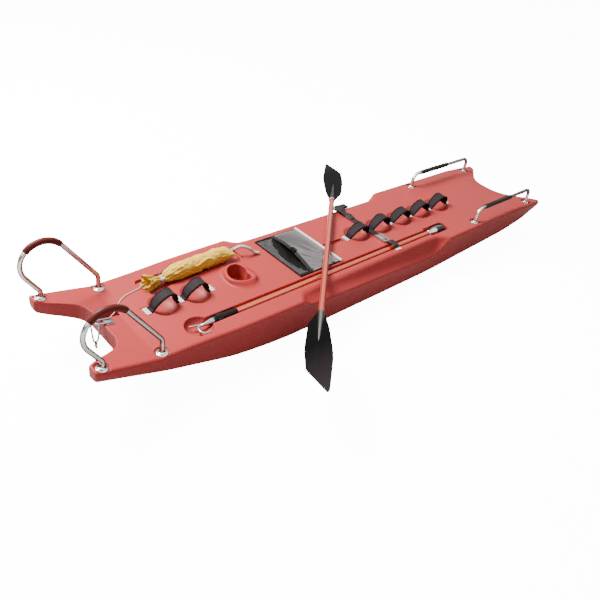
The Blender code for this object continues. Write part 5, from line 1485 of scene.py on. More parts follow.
class RESCUEBOARD_OT_handles(bpy.types.Operator):
    """Four bent tube handles with welded flanges, and the rubber sleeves on them"""
    bl_idname = "rescueboard.handles"
    bl_label = "Handles and sleeves"

    def execute(self, context):
        """Build the handles and the sleeves."""
        steel = polished_steel()
        rubber = looks().rubber
        red = soft_rubber("red_sleeve", rubber.red, (0.08, 0.012, 0.010), 0.42, 0.12)
        black = soft_rubber("black_sleeve", rubber.black, (0.012, 0.012, 0.012), 0.50, 0.15)
        grip_aft = BOW_FOOT_X - BOW_HANDLE_SPAN + BOW_GRIP_AFT_OFFSET
        low = stern_arch_ends()[1] + math.radians(STERN_GRIP_MARGIN)
        stern_grip = arch_points(low, low + math.radians(STERN_GRIP_SWEEP), 36)
        bow_grip = [(grip_aft + BOW_GRIP_LENGTH * k / 20, DECK + BOW_HANDLE_UP) for k in range(21)]
        rows = (
            ("stern", stern_handle_path(), (STERN_FOOT_X, STERN_FOOT_X + STERN_HANDLE_SPAN), stern_grip, red,
             "red_rubber"),
            ("bow", bow_handle_path(), (BOW_FOOT_X - BOW_HANDLE_SPAN, BOW_FOOT_X), bow_grip, black, "black_rubber"),
        )
        for name, path, feet, grip, material, slot in rows:
            for side, hand in ((1, "port"), (-1, "starboard")):
                line = [(x, side * HANDLE_Y, z) for x, z in path]
                shapes = [swept([(point, TUBE_RADIUS) for point in line], sides=32)]
                for foot_x in feet:
                    shapes += flange_shapes(foot_x, side)
                piece(f"{name}_handle_{hand}_steel", *joined(shapes), steel,
                      stands_for=[f"{name}_handle_{hand}"], slot="steel")
                sleeve = rod([(x, side * HANDLE_Y, z) for x, z in grip], GRIP_RADIUS, GRIP_EDGE_RADIUS)
                piece(f"{name}_grip_{hand}_rubber", *swept(sleeve, sides=32), material,
                      stands_for=[f"{name}_grip_{hand}"], slot=slot, sharp=60.0)
        return {"FINISHED"}


# Loops.


def loop_path(half_span, height, lean):
    """Middle line of a loop in (along, up) from its aft tab to its fore tab."""
    line = []
    middle = LOOP_THICKNESS / 2
    for k in range(33):
        angle = math.pi * (1 - k / 32)
        cosine = math.cos(angle)
        fullness = LOOP_AFT_FULLNESS if cosine < 0 else LOOP_FORE_FULLNESS
        across = math.copysign(abs(cosine) ** (2 / fullness), cosine)
        rise = abs(math.sin(angle)) ** (2 / fullness)
        skew = LOOP_SKEW * half_span * rise * (1 - max(0.0, across) ** 2)
        line.append((
            (half_span + middle) * across + lean * rise * 0.5 + skew,
            LOOP_TAB_THICKNESS / 2 + (height - middle - LOOP_TAB_THICKNESS / 2) * rise,
        ))
    return line


class RESCUEBOARD_OT_loops(bpy.types.Operator):
    """Padded webbing loops along the centreline, and the plates and screws that hold them down"""
    bl_idname = "rescueboard.loops"
    bl_label = "Loops and plates"

    def execute(self, context):
        """Build the loops, finish the plates and add their screws."""
        looks_of = looks().webbing
        face = webbing("webbing_face", looks_of.face, looks_of.thread, Specular_IOR_Level=0.16)
        edge = webbing("webbing_edge", looks_of.edge, looks_of.thread, 0.65, Specular_IOR_Level=0.05)
        screws = []
        for name, x in loop_plates():
            finish_plate(name)
            for side in (-1, 1):
                spot = Vector((x, side * PLATE_SCREW_Y, DECK - SCREW_SINK))
                screws.append(screw_head(spot, (0, 0, 1), PLATE_SCREW_RADIUS))
        piece("plate_screws", *joined(screws), cast_metal(), slot="dull_steel")
        crests = iter(LOOP_CRESTS)
        for row, first, pitch, count in LOOP_ROWS:
            half_span = pitch / 2 - LOOP_FOOT_OFFSET
            tab = pitch / 2 - PLATE_LENGTH / 2 - 0.002
            for k in range(count):
                height, lean = next(crests)
                line = loop_path(half_span, height, lean)
                line = [(-tab, LOOP_TAB_THICKNESS / 2)] + line + [(tab, LOOP_TAB_THICKNESS / 2)]
                line = smooth_route([(a, 0.0, b) for a, b in line], 64)
                up = line[:, 2] / height
                rise = np.clip(up * 1.15, 0, 1)
                seed = 7.3 * k + (31.0 if row == "bow" else 0.0)
                sway = np.array([noise.noise(Vector((seed, 3.0 * p[0] / half_span, 0.0))) for p in line])
                middle = first + (k + 0.5) * pitch
                path = line + np.array((middle, 0.0, DECK + GAP))
                path[:, 1] += LOOP_SWAY * sway * rise
                width = LOOP_TAB_WIDTH + (LOOP_WIDTH + LOOP_CREST_SPREAD - LOOP_TAB_WIDTH) * rise ** 0.6
                thick = LOOP_TAB_THICKNESS + (LOOP_THICKNESS - 0.0006 - LOOP_TAB_THICKNESS) * np.clip(up * 4, 0, 1)
                roll = LOOP_ROLL * sway * rise
                across = np.stack((np.zeros(65), np.cos(roll), np.sin(roll)), axis=1)
                # The outer column along each edge of the loop's face takes the black edge material: partly the
                # webbing's own dark edge, partly painted shade along its rolled edges.
                points, faces, lengths, kinds = strap_shape(path, -across, width, thick, columns=10, cup=LOOP_CUP,
                                                            border=1, under=True)
                crumple = []
                for point, spot in zip(points, lengths):
                    bump = noise.noise(Vector((spot[0] * 90 + spot[1] * 60 + seed, spot[1] * 30, seed)))
                    share = min(1.0, max(0.0, (point[2] - DECK - 0.010) / 0.02))
                    crumple.append((point[0], point[1], point[2] + LOOP_CRUMPLE * bump * share))
                piece(f"{row}_loop_{k + 1}_webbing", crumple, faces, face, stands_for=[f"{row}_loop_{k + 1}"],
                      slot="webbing", extra_materials=[edge], face_slots=kinds, lengths=lengths, sharp=70.0)
        return {"FINISHED"}


# Boat hook.


class RESCUEBOARD_OT_boat_hook(bpy.types.Operator):
    """Boat hook in its groove: steel head, black socket and sleeve, lacquered tube, collar and ribbed end"""
    bl_idname = "rescueboard.boat_hook"
    bl_label = "Boat hook"

    def execute(self, context):
        """Build the boat hook's six parts."""
        z = DECK - POLE_DOWN
        steel, black = polished_steel(), black_moulding()
        rubber = soft_rubber("ribbed_rubber", looks().rubber.black, (0.02, 0.02, 0.02), 0.36, 0.25, bump=0.2)

        def part(name, start, profile, material, slot, sides=40):
            shape = turned((start, POLE_Y, z), (1, 0, 0), profile, sides=sides)
            piece(f"{name}_finish", *shape, material, stands_for=[name], slot=slot, sharp=35.0)

        length = POLE_FORE_X - POLE_AFT_X - GAP
        r = POLE_RADIUS
        part("boat_hook_tube", POLE_AFT_X + GAP / 2,
             [(0, r - 0.0006), (0.0006, r)] + [(length * k / 12, r) for k in range(1, 12)]
             + [(length - 0.0006, r), (length, r - 0.0006)], orange_lacquer(), "orange_tube")
        r = SLEEVE_RADIUS
        length = SLEEVE_LENGTH - GAP
        part("boat_hook_sleeve", POLE_AFT_X - SLEEVE_LENGTH + GAP / 2,
             [(0, r - 0.001), (0.001, r), (length * 0.30, r), (length * 0.32, r - 0.0012), (length * 0.80, r - 0.0014),
              (length * 0.82, r), (length - 0.001, r), (length, r - 0.001)], black, "black_plastic")
        r = SOCKET_RADIUS
        length = SOCKET_LENGTH - GAP
        socket_x = POLE_AFT_X - SLEEVE_LENGTH - SOCKET_LENGTH
        profile = [(0, r * 0.72), (0.003, r * 0.80), (length * 0.22, r * 0.84), (length * 0.24, r * 0.97),
                   (length * 0.28, r), (length * 0.66, r), (length * 0.70, r * 0.97), (length * 0.72, r * 0.88),
                   (length - 0.002, r * 0.86), (length, r * 0.80)]
        socket = turned((socket_x + GAP / 2, POLE_Y, z), (1, 0, 0), profile, sides=40)
        place = Matrix.Translation((socket_x, POLE_Y, z))
        lug = box_shape((0.020, -0.0212, -0.004), (0.042, -0.0150, 0.0135), 0.0015, place)
        pin = turned(place @ Vector((0.031, -0.0205, 0.006)), (0, -1, 0), [(0, 0.0040), (0.0012, 0.0036)], 16)
        piece("boat_hook_socket_finish", *joined([socket, lug, pin]), black, stands_for=["boat_hook_socket"],
              slot="black_plastic", sharp=35.0)
        r = POLE_COLLAR_RADIUS
        length = POLE_COLLAR_LENGTH - GAP
        part("boat_hook_collar", POLE_FORE_X + GAP / 2,
             [(0, 0.0160), (0.002, 0.0176), (length * 0.18, 0.0182), (length * 0.30, 0.0196), (length * 0.55, 0.0226),
              (length * 0.72, 0.0252), (length * 0.80, r), (length * 0.92, r), (length - 0.0015, r - 0.0012),
              (length, r - 0.003)], steel, "steel")
        ribs = [(0.0, 0.0240)]
        length = POLE_END_LENGTH - GAP
        for k in range(6):
            at = length * (0.04 + 0.13 * k)
            reach = POLE_END_RADIUS - 0.0011 * k
            ribs += [(at, reach - 0.0026), (at + 0.0022, reach), (at + 0.0070, reach), (at + 0.0092, reach - 0.0026)]
        ribs += [(length * 0.86, 0.0196), (length * 0.93, 0.0182), (length * 0.975, 0.0150), (length, 0.0080)]
        droop = [((POLE_FORE_X + POLE_COLLAR_LENGTH + GAP / 2 + at, POLE_Y, z - 0.010 * (at / length) ** 2), reach)
                 for at, reach in ribs]
        droop = [((x, y, max(h, DECK - 0.0392 + reach)), reach) for (x, y, h), reach in droop]
        piece("boat_hook_end_grip_finish", *swept(droop, sides=40), rubber, stands_for=["boat_hook_end_grip"],
              slot="black_rubber", sharp=35.0)

        shank_x = socket_x - HOOK_SHANK_LENGTH
        cone = turned((shank_x, POLE_Y, z), (1, 0, 0),
                      [(0, 0.0030), (0.002, 0.0052), (0.020, 0.0075), (0.058, 0.0150), (0.062, 0.0155),
                       (HOOK_SHANK_LENGTH - 0.0005, 0.0152)], 32)
        spike_line = smooth_route((
            (shank_x + 0.008, POLE_Y, z),
            (shank_x - 0.010, POLE_Y + 0.008, z),
            (shank_x - 0.028, POLE_Y + 0.013, z + 0.001),
            (shank_x - 0.046, POLE_Y + 0.020, z),
        ), 18)
        spike = [(point, 0.0054 - 0.0030 * (k / 18) ** 2) for k, point in enumerate(spike_line)]
        hook_line = []
        for k in range(25):
            angle = math.radians(70 + 190 * k / 24)
            across, out = 0.023 * math.cos(angle), 0.026 * math.sin(angle)
            hook_line.append((shank_x + 0.002 + across, POLE_Y - 0.026 + out, z))
        hook_line.append((shank_x + 0.018, POLE_Y - 0.053, z))
        hook = [(point, 0.0054 - 0.0014 * max(0.0, k / 25 - 0.5)) for k, point in enumerate(hook_line)]
        piece("boat_hook_head_finish", *joined([cone, swept(spike, 20), swept(hook, 20)]), forged_steel(),
              stands_for=["boat_hook_head"], slot="steel", sharp=45.0)
        return {"FINISHED"}


# Throw bag.


def bag_profile():
    """Profile of the throw bag as (distance from its neck, radius), from its mouth to its closed end."""
    return (
        (-BAG_MOUTH_LENGTH, BAG_MOUTH_RADIUS),
        (-0.55 * BAG_MOUTH_LENGTH, BAG_MOUTH_RADIUS * 0.74),
        (-0.010, BAG_NECK_RADIUS),
        (0.010, BAG_NECK_RADIUS),
        (0.034, BAG_RADIUS * 0.74),
        (0.080, BAG_RADIUS * 0.96),
        (0.150, BAG_RADIUS),
        (BAG_LENGTH - 0.060, BAG_RADIUS),
        (BAG_LENGTH - 0.016, BAG_RADIUS * 0.96),
        (BAG_LENGTH, BAG_RADIUS * 0.72),
    )


def bag_middle(radius):
    """Height of the bag's axis where it has a radius."""
    flat = math.cos(math.pi / BAG_SIDES)
    return DECK - TRAY_DEPTH + GAP + radius * flat + (BAG_RADIUS - radius) * flat * 0.55


def bag_place():
    """Matrix from the bag's own lengths to the board, at the neck and along the bag."""
    return Matrix.Translation(BAG_NECK) @ Matrix.Rotation(BAG_YAW, 4, "Z")


def bag_top(x, y, clearance):
    """Height over a point that clears the bag's upper side, or None beside the bag."""
    spot = bag_place().inverted() @ Vector((x, y, 0))
    profile = bag_profile()
    if not profile[0][0] - clearance <= spot.x <= profile[-1][0] + clearance:
        return None
    radius = float(np.interp(spot.x, [row[0] for row in profile], [row[1] for row in profile]))
    middle = bag_middle(radius)
    if abs(spot.x) < TIE_WIDTH / 2 + TOGGLE_LENGTH / 2:
        radius = BAG_NECK_RADIUS + TIE_THICKNESS + 2 * TOGGLE_RADIUS + 2 * GAP
        middle = bag_middle(BAG_NECK_RADIUS) - TOGGLE_RADIUS / 2
    radius += clearance
    if abs(spot.y) >= radius:
        return None
    return middle + math.sqrt(radius ** 2 - spot.y ** 2)


def taut_route(x0, y0, x1, y1):
    """Shortest route over the bag from one point of the deck to another."""
    rest = DECK + BAG_CORD_RADIUS + 2 * GAP
    line = []
    for k in range(41):
        x = x0 + (x1 - x0) * k / 40
        y = y0 + (y1 - y0) * k / 40
        top = bag_top(x, y, BAG_CORD_RADIUS + 4 * GAP)
        line.append(Vector((x, y, rest if top is None else max(rest, top))))
    here = 0
    taut = [line[0]]
    while here < len(line) - 1:
        climbs = [(point.z - line[here].z) / (number + 1) for number, point in enumerate(line[here + 1:])]
        here += 1 + max(range(len(climbs)), key=lambda number: climbs[number])
        taut.append(line[here])
    fine = [taut[0]]
    for first, last in zip(taut, taut[1:]):
        steps = max(1, round((last - first).length / 0.006))
        fine += [first.lerp(last, k / steps) for k in range(1, steps + 1)]
    return fine


def cord_curve(name, path, radius, material, node):
    """Round cord as one curve along a path, standing for its CAD node."""
    data = bpy.data.curves.new(name, "CURVE")
    data.dimensions = "3D"
    data.bevel_depth = radius
    data.bevel_resolution = 4
    data.use_fill_caps = True
    spline = data.splines.new("POLY")
    spline.points.add(len(path) - 1)
    for point, place in zip(spline.points, path):
        point.co = (*place, 1.0)
    data.materials.append(material)
    obj = placed(name, data)
    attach(obj, "board")
    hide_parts(node)
    return obj


def cord_material(name, colour):
    """Braided cord, with a fine grain."""
    return skin(name, colour, tuple(min(1.0, c * 1.25) for c in colour), 0.72, wear=0.4, grain=1500.0, cloud=60.0,
                bump=0.5)


class RESCUEBOARD_OT_cords(bpy.types.Operator):
    """Elastic cords over the throw bag and the white line from the bag to the notch"""
    bl_idname = "rescueboard.cords"
    bl_label = "Cords and line"

    def execute(self, context):
        bag = looks().bag
        elastic = cord_material("elastic_cord", bag.cord)
        for name, x0, y0, x1, y1 in BAG_CORDS:
            path = taut_route(x0, y0, x1, y1)
            obj = cord_curve(f"bag_cord_{name}_elastic", path, BAG_CORD_RADIUS, elastic, f"bag_cord_{name}")
        deck_line = DECK + LINE_RADIUS + 2 * GAP
        mouth = bag_place() @ Vector((-BAG_MOUTH_LENGTH - LINE_RADIUS, 0.010, DECK + 0.014))
        floor = DECK - LINE_SLOT_DEPTH + LINE_RADIUS
        path = smooth_route((
            mouth,
            mouth + Vector((-0.030, -0.004, deck_line + 0.001 - mouth.z)),
            (-1.245, 0.135, deck_line),
            (-1.300, 0.098, deck_line),
            (-1.320, 0.070, deck_line + 0.003),
            (-1.342, 0.054, deck_line + 0.001),
            (-1.366, 0.050, floor + 0.005),
            (-1.392, 0.050, floor + 0.001),
            (NOTCH_X + 0.004, 0.049, floor + 0.001),
        ), 60)
        rope = cord_material("white_rope", bag.white)
        obj = cord_curve("rescue_line_rope", path, LINE_RADIUS, rope, "rescue_line")
        return {"FINISHED"}


def bag_pleats(t, angle):
    """Share by which the gathers at the neck lift the cloth, at a distance along the bag and round it."""
    turned_by = angle + BAG_PLEAT_TWIST * t / BAG_RADIUS
    pleats = math.sin(9 * turned_by + 1.5 * math.sin(2 * angle)) * 0.6 + math.sin(14 * turned_by + 2.0) * 0.4
    reach = 0.050 if t > 0 else 0.070
    return 0.20 * math.exp(-(abs(t) / reach) ** 1.3) * (0.3 + 0.7 * min(1.0, abs(t) / 0.012)) * pleats


def bag_folds(t, angle):
    """How far the slanting folds and the small creases lift the bag's cloth."""
    if t <= 0:
        return 0.0
    bend = noise.noise(Vector((t * 11, math.cos(angle) * 0.9, math.sin(angle) * 0.9 + 4)))
    slow = noise.noise(Vector((t * 5, math.cos(angle) * 0.5, math.sin(angle) * 0.5 + 8)))
    long_fold = 1 - abs(math.sin(1.5 * angle - 17 * t + 3.2 * bend))
    cross_fold = 1 - abs(math.sin(2.0 * angle + 23 * t + 2.6 * slow))
    spot = Vector((t * 30 - angle * 1.3, math.cos(angle) * 2, math.sin(angle) * 2))
    crease = 1 - min(1.0, 3.0 * abs(noise.noise(spot)))
    body = min(1.0, t / 0.045)
    lift = 0.0062 * (long_fold ** 2 - 0.35) * (0.65 + slow) + 0.0036 * (cross_fold ** 2 - 0.3) * (0.6 - slow)
    return (lift + 0.0018 * (crease - 0.4)) * body


def bag_surface():
    """Places along the bag's cloth and its radius there, before its folds, from the mouth to the closed end."""
    profile = bag_profile()
    along = np.concatenate((np.linspace(-BAG_MOUTH_LENGTH, 0.06, 46), np.linspace(0.066, BAG_LENGTH - 0.002, 84)))
    radius = smooth_rows(along, [row[0] for row in profile], [row[1] for row in profile])
    return along, radius


class RESCUEBOARD_OT_throw_bag(bpy.types.Operator):
    """Yellow throw bag: gathered cloth, tie, toggle and white tail"""
    bl_idname = "rescueboard.throw_bag"
    bl_label = "Throw bag"

    def execute(self, context):
        """Build the bag's cloth, its tie, its toggle and its tail."""
        colours = looks().bag
        yellow = cloth("bag_cloth", colours.cloth, 55.0, 0.22, 0.50, bump=0.35, Specular_IOR_Level=0.14)
        white = white_moulding()
        place = bag_place()
        along, radius = bag_surface()
        count = 120
        points = []
        for t, r in zip(along, radius):
            end = max(0.0, (t - (BAG_LENGTH - 0.085)) / 0.083)
            flat = 1 - 0.82 * end ** 1.6
            wide = 1 + 0.34 * end ** 2
            mouth = max(0.0, -t / BAG_MOUTH_LENGTH)
            middle = bag_middle(r) + 0.006 * end
            for angle in round_angles(count):
                reach = r * (1 + bag_pleats(t, angle)) + bag_folds(t, angle) * (1 - 0.4 * end)
                reach += 0.0085 * mouth ** 1.4 * math.sin(5 * angle + 0.8) + 0.004 * mouth * math.sin(9 * angle)
                reach = min(reach, BAG_RADIUS * 1.10)
                y = reach * wide * math.cos(angle)
                z = max(middle + reach * flat * math.sin(angle), DECK - TRAY_DEPTH + 0.0006)
                shift = 0.011 * mouth ** 2 * math.sin(3 * angle + 1.0)
                shift += 0.006 * end ** 3 * math.cos(angle) ** 2
                points.append(place @ Vector((t + shift, y, z)))
        rings = len(along)
        faces = tube_faces(rings, count)[:-2]
        inner = []
        depth_steps = (0.0, 0.012, 0.030, BAG_MOUTH_DEPTH)
        first_ring = [Vector(p) for p in points[:count]]
        centre = place @ Vector((-BAG_MOUTH_LENGTH, 0, bag_middle(BAG_MOUTH_RADIUS)))
        forward = place.to_3x3() @ Vector((1, 0, 0))
        start = len(points)
        for step in depth_steps:
            shrink = 0.955 - 0.62 * step / BAG_MOUTH_DEPTH
            for p in first_ring:
                inner.append(centre + (p - centre) * shrink + forward * step)
        points += inner
        for k in range(count):
            m = (k + 1) % count
            faces.append((m, k, start + k, start + m))
            for i in range(len(depth_steps) - 1):
                a, b = start + i * count, start + (i + 1) * count
                faces.append((a + m, a + k, b + k, b + m))
        faces.append(tuple(start + (len(depth_steps) - 1) * count + k for k in range(count)))
        faces.append(tuple((rings - 1) * count + k for k in range(count)))
        bag = piece("throw_bag_cloth", points, faces, yellow, stands_for=["throw_bag"], slot="yellow_cloth", sharp=80.0)

        neck = place @ Vector((0, 0, bag_middle(BAG_NECK_RADIUS)))
        lie = place.to_3x3()
        reach = BAG_NECK_RADIUS + GAP + TIE_THICKNESS / 2
        ring = [neck + lie @ Vector((0, math.cos(angle), math.sin(angle))) * reach for angle in round_angles(40)]
        band_points = []
        section = [(TIE_WIDTH / 2 * c, TIE_THICKNESS / 2 * s) for c, s in
                   ((-1, -0.6), (-0.92, -1), (0.92, -1), (1, -0.6), (1, 0.6), (0.92, 1), (-0.92, 1), (-1, 0.6))]
        for spot in ring:
            out = (spot - neck).normalized()
            for a, b in section:
                band_points.append(spot + lie @ Vector((a, 0, 0)) + out * b)
        piece("bag_tie_band", band_points, tube_faces(40, 8, closed=True), white, stands_for=["bag_tie"],
              slot="white_plastic")
        reach = BAG_NECK_RADIUS + GAP + TIE_THICKNESS + GAP + TOGGLE_RADIUS
        spot = place @ Vector((-0.003, -reach * 0.83, bag_middle(BAG_NECK_RADIUS) + reach * 0.56))
        axis = lie @ Vector((1, 0, 0))
        half = TOGGLE_LENGTH / 2
        r = TOGGLE_RADIUS
        profile = [(-half, r * 0.6), (-half + 0.001, r * 0.85), (-half + 0.003, r), (-0.002, r), (-0.0012, r * 0.86),
                   (0.0012, r * 0.86), (0.002, r), (half - 0.003, r), (half - 0.001, r * 0.85), (half, r * 0.6)]
        piece("bag_toggle_moulding", *turned(spot, axis, profile, 28), white, stands_for=["bag_toggle"],
              slot="white_plastic")
        start = place @ Vector((BAG_LENGTH + GAP, -0.004, DECK + 0.032))
        leave = place @ Vector((BAG_LENGTH + 0.012, -0.004, DECK + 0.032))
        tail = smooth_route((
            start,
            leave,
            leave + Vector((0.034, -0.014, 0.016)),
            leave + Vector((0.074, -0.033, 0.004)),
            leave + Vector((0.100, -0.045, TAIL_RADIUS + 0.006 - 0.033)),
            leave + Vector((0.122, -0.056, TAIL_RADIUS + 0.001 - 0.033)),
        ), 36)
        piece("bag_tail_tube", *swept(rod(tail, TAIL_RADIUS, 0.0020), 28), white, stands_for=["bag_tail"],
              slot="white_plastic", sharp=60.0)
        return {"FINISHED"}


# Pocket.


def pocket_mouth_x(y):
    """x of the pocket's mouth at a distance to port."""
    share = (y - POCKET_STARBOARD_Y) / POCKET_WIDTH
    return POCKET_MOUTH_STARBOARD_X + (POCKET_MOUTH_PORT_X - POCKET_MOUTH_STARBOARD_X) * share


def pocket_bulge(x, y):
    """Height of the pocket's front cloth over its back panel."""
    seam = POCKET_HEM / POCKET_WIDTH
    across = (y - POCKET_STARBOARD_Y) / POCKET_WIDTH
    across = min(1.0, max(0.0, (across - seam) / (1 - 2 * seam)))
    rise = math.sin(math.pi * across) * (0.70 + 0.30 * across)
    start = pocket_mouth_x(y) + POCKET_STRAP_WIDTH
    run = (x - start) / (POCKET_FORE_X - POCKET_HEM - start)
    return POCKET_BULGE * rise * (1 - max(0.0, min(1.0, run)) ** 1.3)


def fold_height(x, y):
    """Folds of the front cloth, which fan out from its bow corner on the starboard side."""
    dx, dy = POCKET_FORE_X - x, y - POCKET_STARBOARD_Y
    far = math.hypot(dx, dy)
    angle = math.atan2(dy, dx)
    wave = math.sin(angle * 15 + 2.2 * noise.noise(Vector((x * 9, y * 9, 2.0))))
    return 0.0058 * wave * math.exp(-((far - 0.10) / 0.10) ** 2) * math.sin(min(angle / 1.2, 1) * math.pi) ** 0.5


class RESCUEBOARD_OT_pocket(bpy.types.Operator):
    """Cloth pocket: crinkled back, black lining, domed front, binding, batten, strap and buckle"""
    bl_idname = "rescueboard.pocket"
    bl_label = "Pocket"

    def execute(self, context):
        """Build the pocket's pieces."""
        colours = looks().pocket
        silver = cloth("silver_cloth", tuple(0.34 * c for c in colours.silver), 70.0, 0.9, 0.20, bump=1.0, Metallic=0.9)
        satin = cloth("satin_cloth", tuple(0.6 * c for c in colours.silver), 26.0, 0.25, 0.30, bump=0.4, Metallic=0.85)
        lining = cloth("black_lining", colours.lining, 60.0, 0.4, 0.45, bump=0.5, Specular_IOR_Level=0.06)
        binding = webbing("black_binding", colours.lining, 0.0012, 0.6, Specular_IOR_Level=0.08)
        white = white_moulding()
        floor = DECK + GAP

        def back_point(i, j):
            x = POCKET_AFT_X + (POCKET_FORE_X - POCKET_AFT_X) * j / 70
            y = POCKET_STARBOARD_Y + POCKET_WIDTH * i / 90
            open_part = 1.0 if x < pocket_mouth_x(y) - 0.002 else 0.0
            edge = min(1.0, min(i, 90 - i, j) / 5)
            crinkle = noise.turbulence(Vector((x * 42, y * 42, 1.0)), 3, True)
            return x, y, floor + 0.0014 + (0.0012 + POCKET_CRINKLE * crinkle) * edge * open_part

        top = grid_points(90, 70, back_point)
        low = top.copy()
        low[:, :, 2] = floor
        back = piece("pocket_back_cloth", *slab_shape(top, low), silver, stands_for=["pocket_back_panel"],
                     slot="grey_cloth", sharp=70.0)

        base = floor + POCKET_CLOTH + GAP
        inset = 0.004

        def front_point(i, j):
            y = POCKET_STARBOARD_Y + inset + (POCKET_WIDTH - 2 * inset) * i / 100
            mouth = pocket_mouth_x(y)
            x = mouth + (POCKET_FORE_X - mouth) * j / 60
            side_edge = min(1.0, min(i, 100 - i) / 8)
            fold = fold_height(x, y) * side_edge * min(1.0, (60 - j) / 8) * min(1.0, j / 10)
            return x, y, max(base + pocket_bulge(x, y) + 0.0022 + fold, base + 0.0016)

        top = grid_points(100, 60, front_point)
        shape = slab_shape(top, top - (0, 0, 0.0014))
        front = piece("pocket_front_cloth", *shape, satin, stands_for=["pocket_front_panel"], slot="grey_cloth",
                      sharp=70.0)

        def lining_point(i, j):
            share = i / 80
            y = POCKET_STARBOARD_Y + 0.012 + (POCKET_WIDTH - 0.030) * share
            reach = LINING_REACH * math.sin(math.pi * share) ** 0.7 + 0.003 * noise.noise(Vector((y * 60, 0, 3)))
            x = pocket_mouth_x(y) + 0.030 - (reach + 0.030) * j / 16
            ripple = noise.turbulence(Vector((x * 50, y * 50, 7.0)), 2, True)
            return x, y, floor + 0.0060 + 0.004 * ripple * min(1.0, j / 4) * min(1.0, (16 - j) / 3 + 0.3)

        top = grid_points(80, 16, lining_point)[:, ::-1]
        piece("pocket_lining_cloth", *slab_shape(top, top - (0, 0, 0.0008)), lining, slot="webbing", sharp=70.0)

        # Black binding round the panel: aft edge, port edge and a wider band along the starboard edge.
        up = floor + 0.0040
        aft_x, port_y, starboard_y = POCKET_AFT_X + 0.003, POCKET_PORT_Y - 0.004, POCKET_STARBOARD_Y + 0.007
        strips = (
            ((aft_x, POCKET_STARBOARD_Y, up), (aft_x, POCKET_PORT_Y, up), (1, 0, 0), 0.007),
            ((POCKET_AFT_X, port_y, up), (POCKET_FORE_X, port_y, up), (0, -1, 0), 0.009),
            ((POCKET_AFT_X, starboard_y, up), (POCKET_FORE_X, starboard_y, up), (0, -1, 0), 0.016),
        )
        shapes, lengths = [], []
        for start, end, across, width in strips:
            line = [Vector(start).lerp(Vector(end), k / 40) for k in range(41)]
            line = [point + Vector((0, 0, 0.0012 * noise.noise(Vector(point) * 40))) for point in line]
            points, faces, strip_lengths, _ = strap_shape(line, across, width, 0.0022, columns=4)
            shapes.append((points, faces))
            lengths += strip_lengths
        piece("pocket_binding_tape", *joined(shapes), binding, slot="webbing", lengths=lengths, sharp=60.0)

        x = POCKET_FORE_X + BATTEN_RADIUS + GAP
        start, end = POCKET_STARBOARD_Y - 0.004, POCKET_PORT_Y
        batten = [(x, start + (end - start) * k / 24, floor + BATTEN_RADIUS) for k in range(25)]
        piece("pocket_batten_strip", *swept(rod(batten, BATTEN_RADIUS, 0.002), 28), white,
              stands_for=["pocket_batten"], slot="white_plastic", sharp=60.0)

        face = webbing("strap_face", looks().webbing.edge, 0.0015, 0.45, Specular_IOR_Level=0.20)
        path = []
        for k in range(61):
            y = POCKET_STARBOARD_Y + 0.006 + (POCKET_WIDTH - 0.012) * k / 60
            mouth = pocket_mouth_x(y)
            lift = base + pocket_bulge(mouth, y) + POCKET_CLOTH + 0.0017
            path.append((mouth + POCKET_STRAP_WIDTH / 2, y, lift))
        shape = strap_shape(path, (1, 0, 0), POCKET_STRAP_WIDTH - 0.002, 0.0018, columns=6)
        webbing_piece("pocket_strap_webbing", shape, face, ["pocket_strap"])
        low_corner, high_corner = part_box("pocket_buckle")
        bars = []
        c = (low_corner + high_corner) / 2
        h = (high_corner - low_corner) / 2
        for y in (c.y + side * (h.y - 0.003) for side in (-1, 0, 1)):
            bars.append(box_shape((c.x - h.x, y - 0.003, low_corner.z), (c.x + h.x, y + 0.003, high_corner.z), 0.0012))
        for x in (c.x + side * (h.x - 0.002) for side in (-1, 1)):
            bars.append(box_shape((x - 0.002, c.y - h.y, low_corner.z + 0.0008),
                                  (x + 0.002, c.y + h.y, high_corner.z - 0.0006), 0.0012))
        piece("pocket_buckle_frame", *joined(bars), black_moulding(), stands_for=["pocket_buckle"],
              slot="black_plastic", sharp=30.0)
        return {"FINISHED"}


# Cross strap.


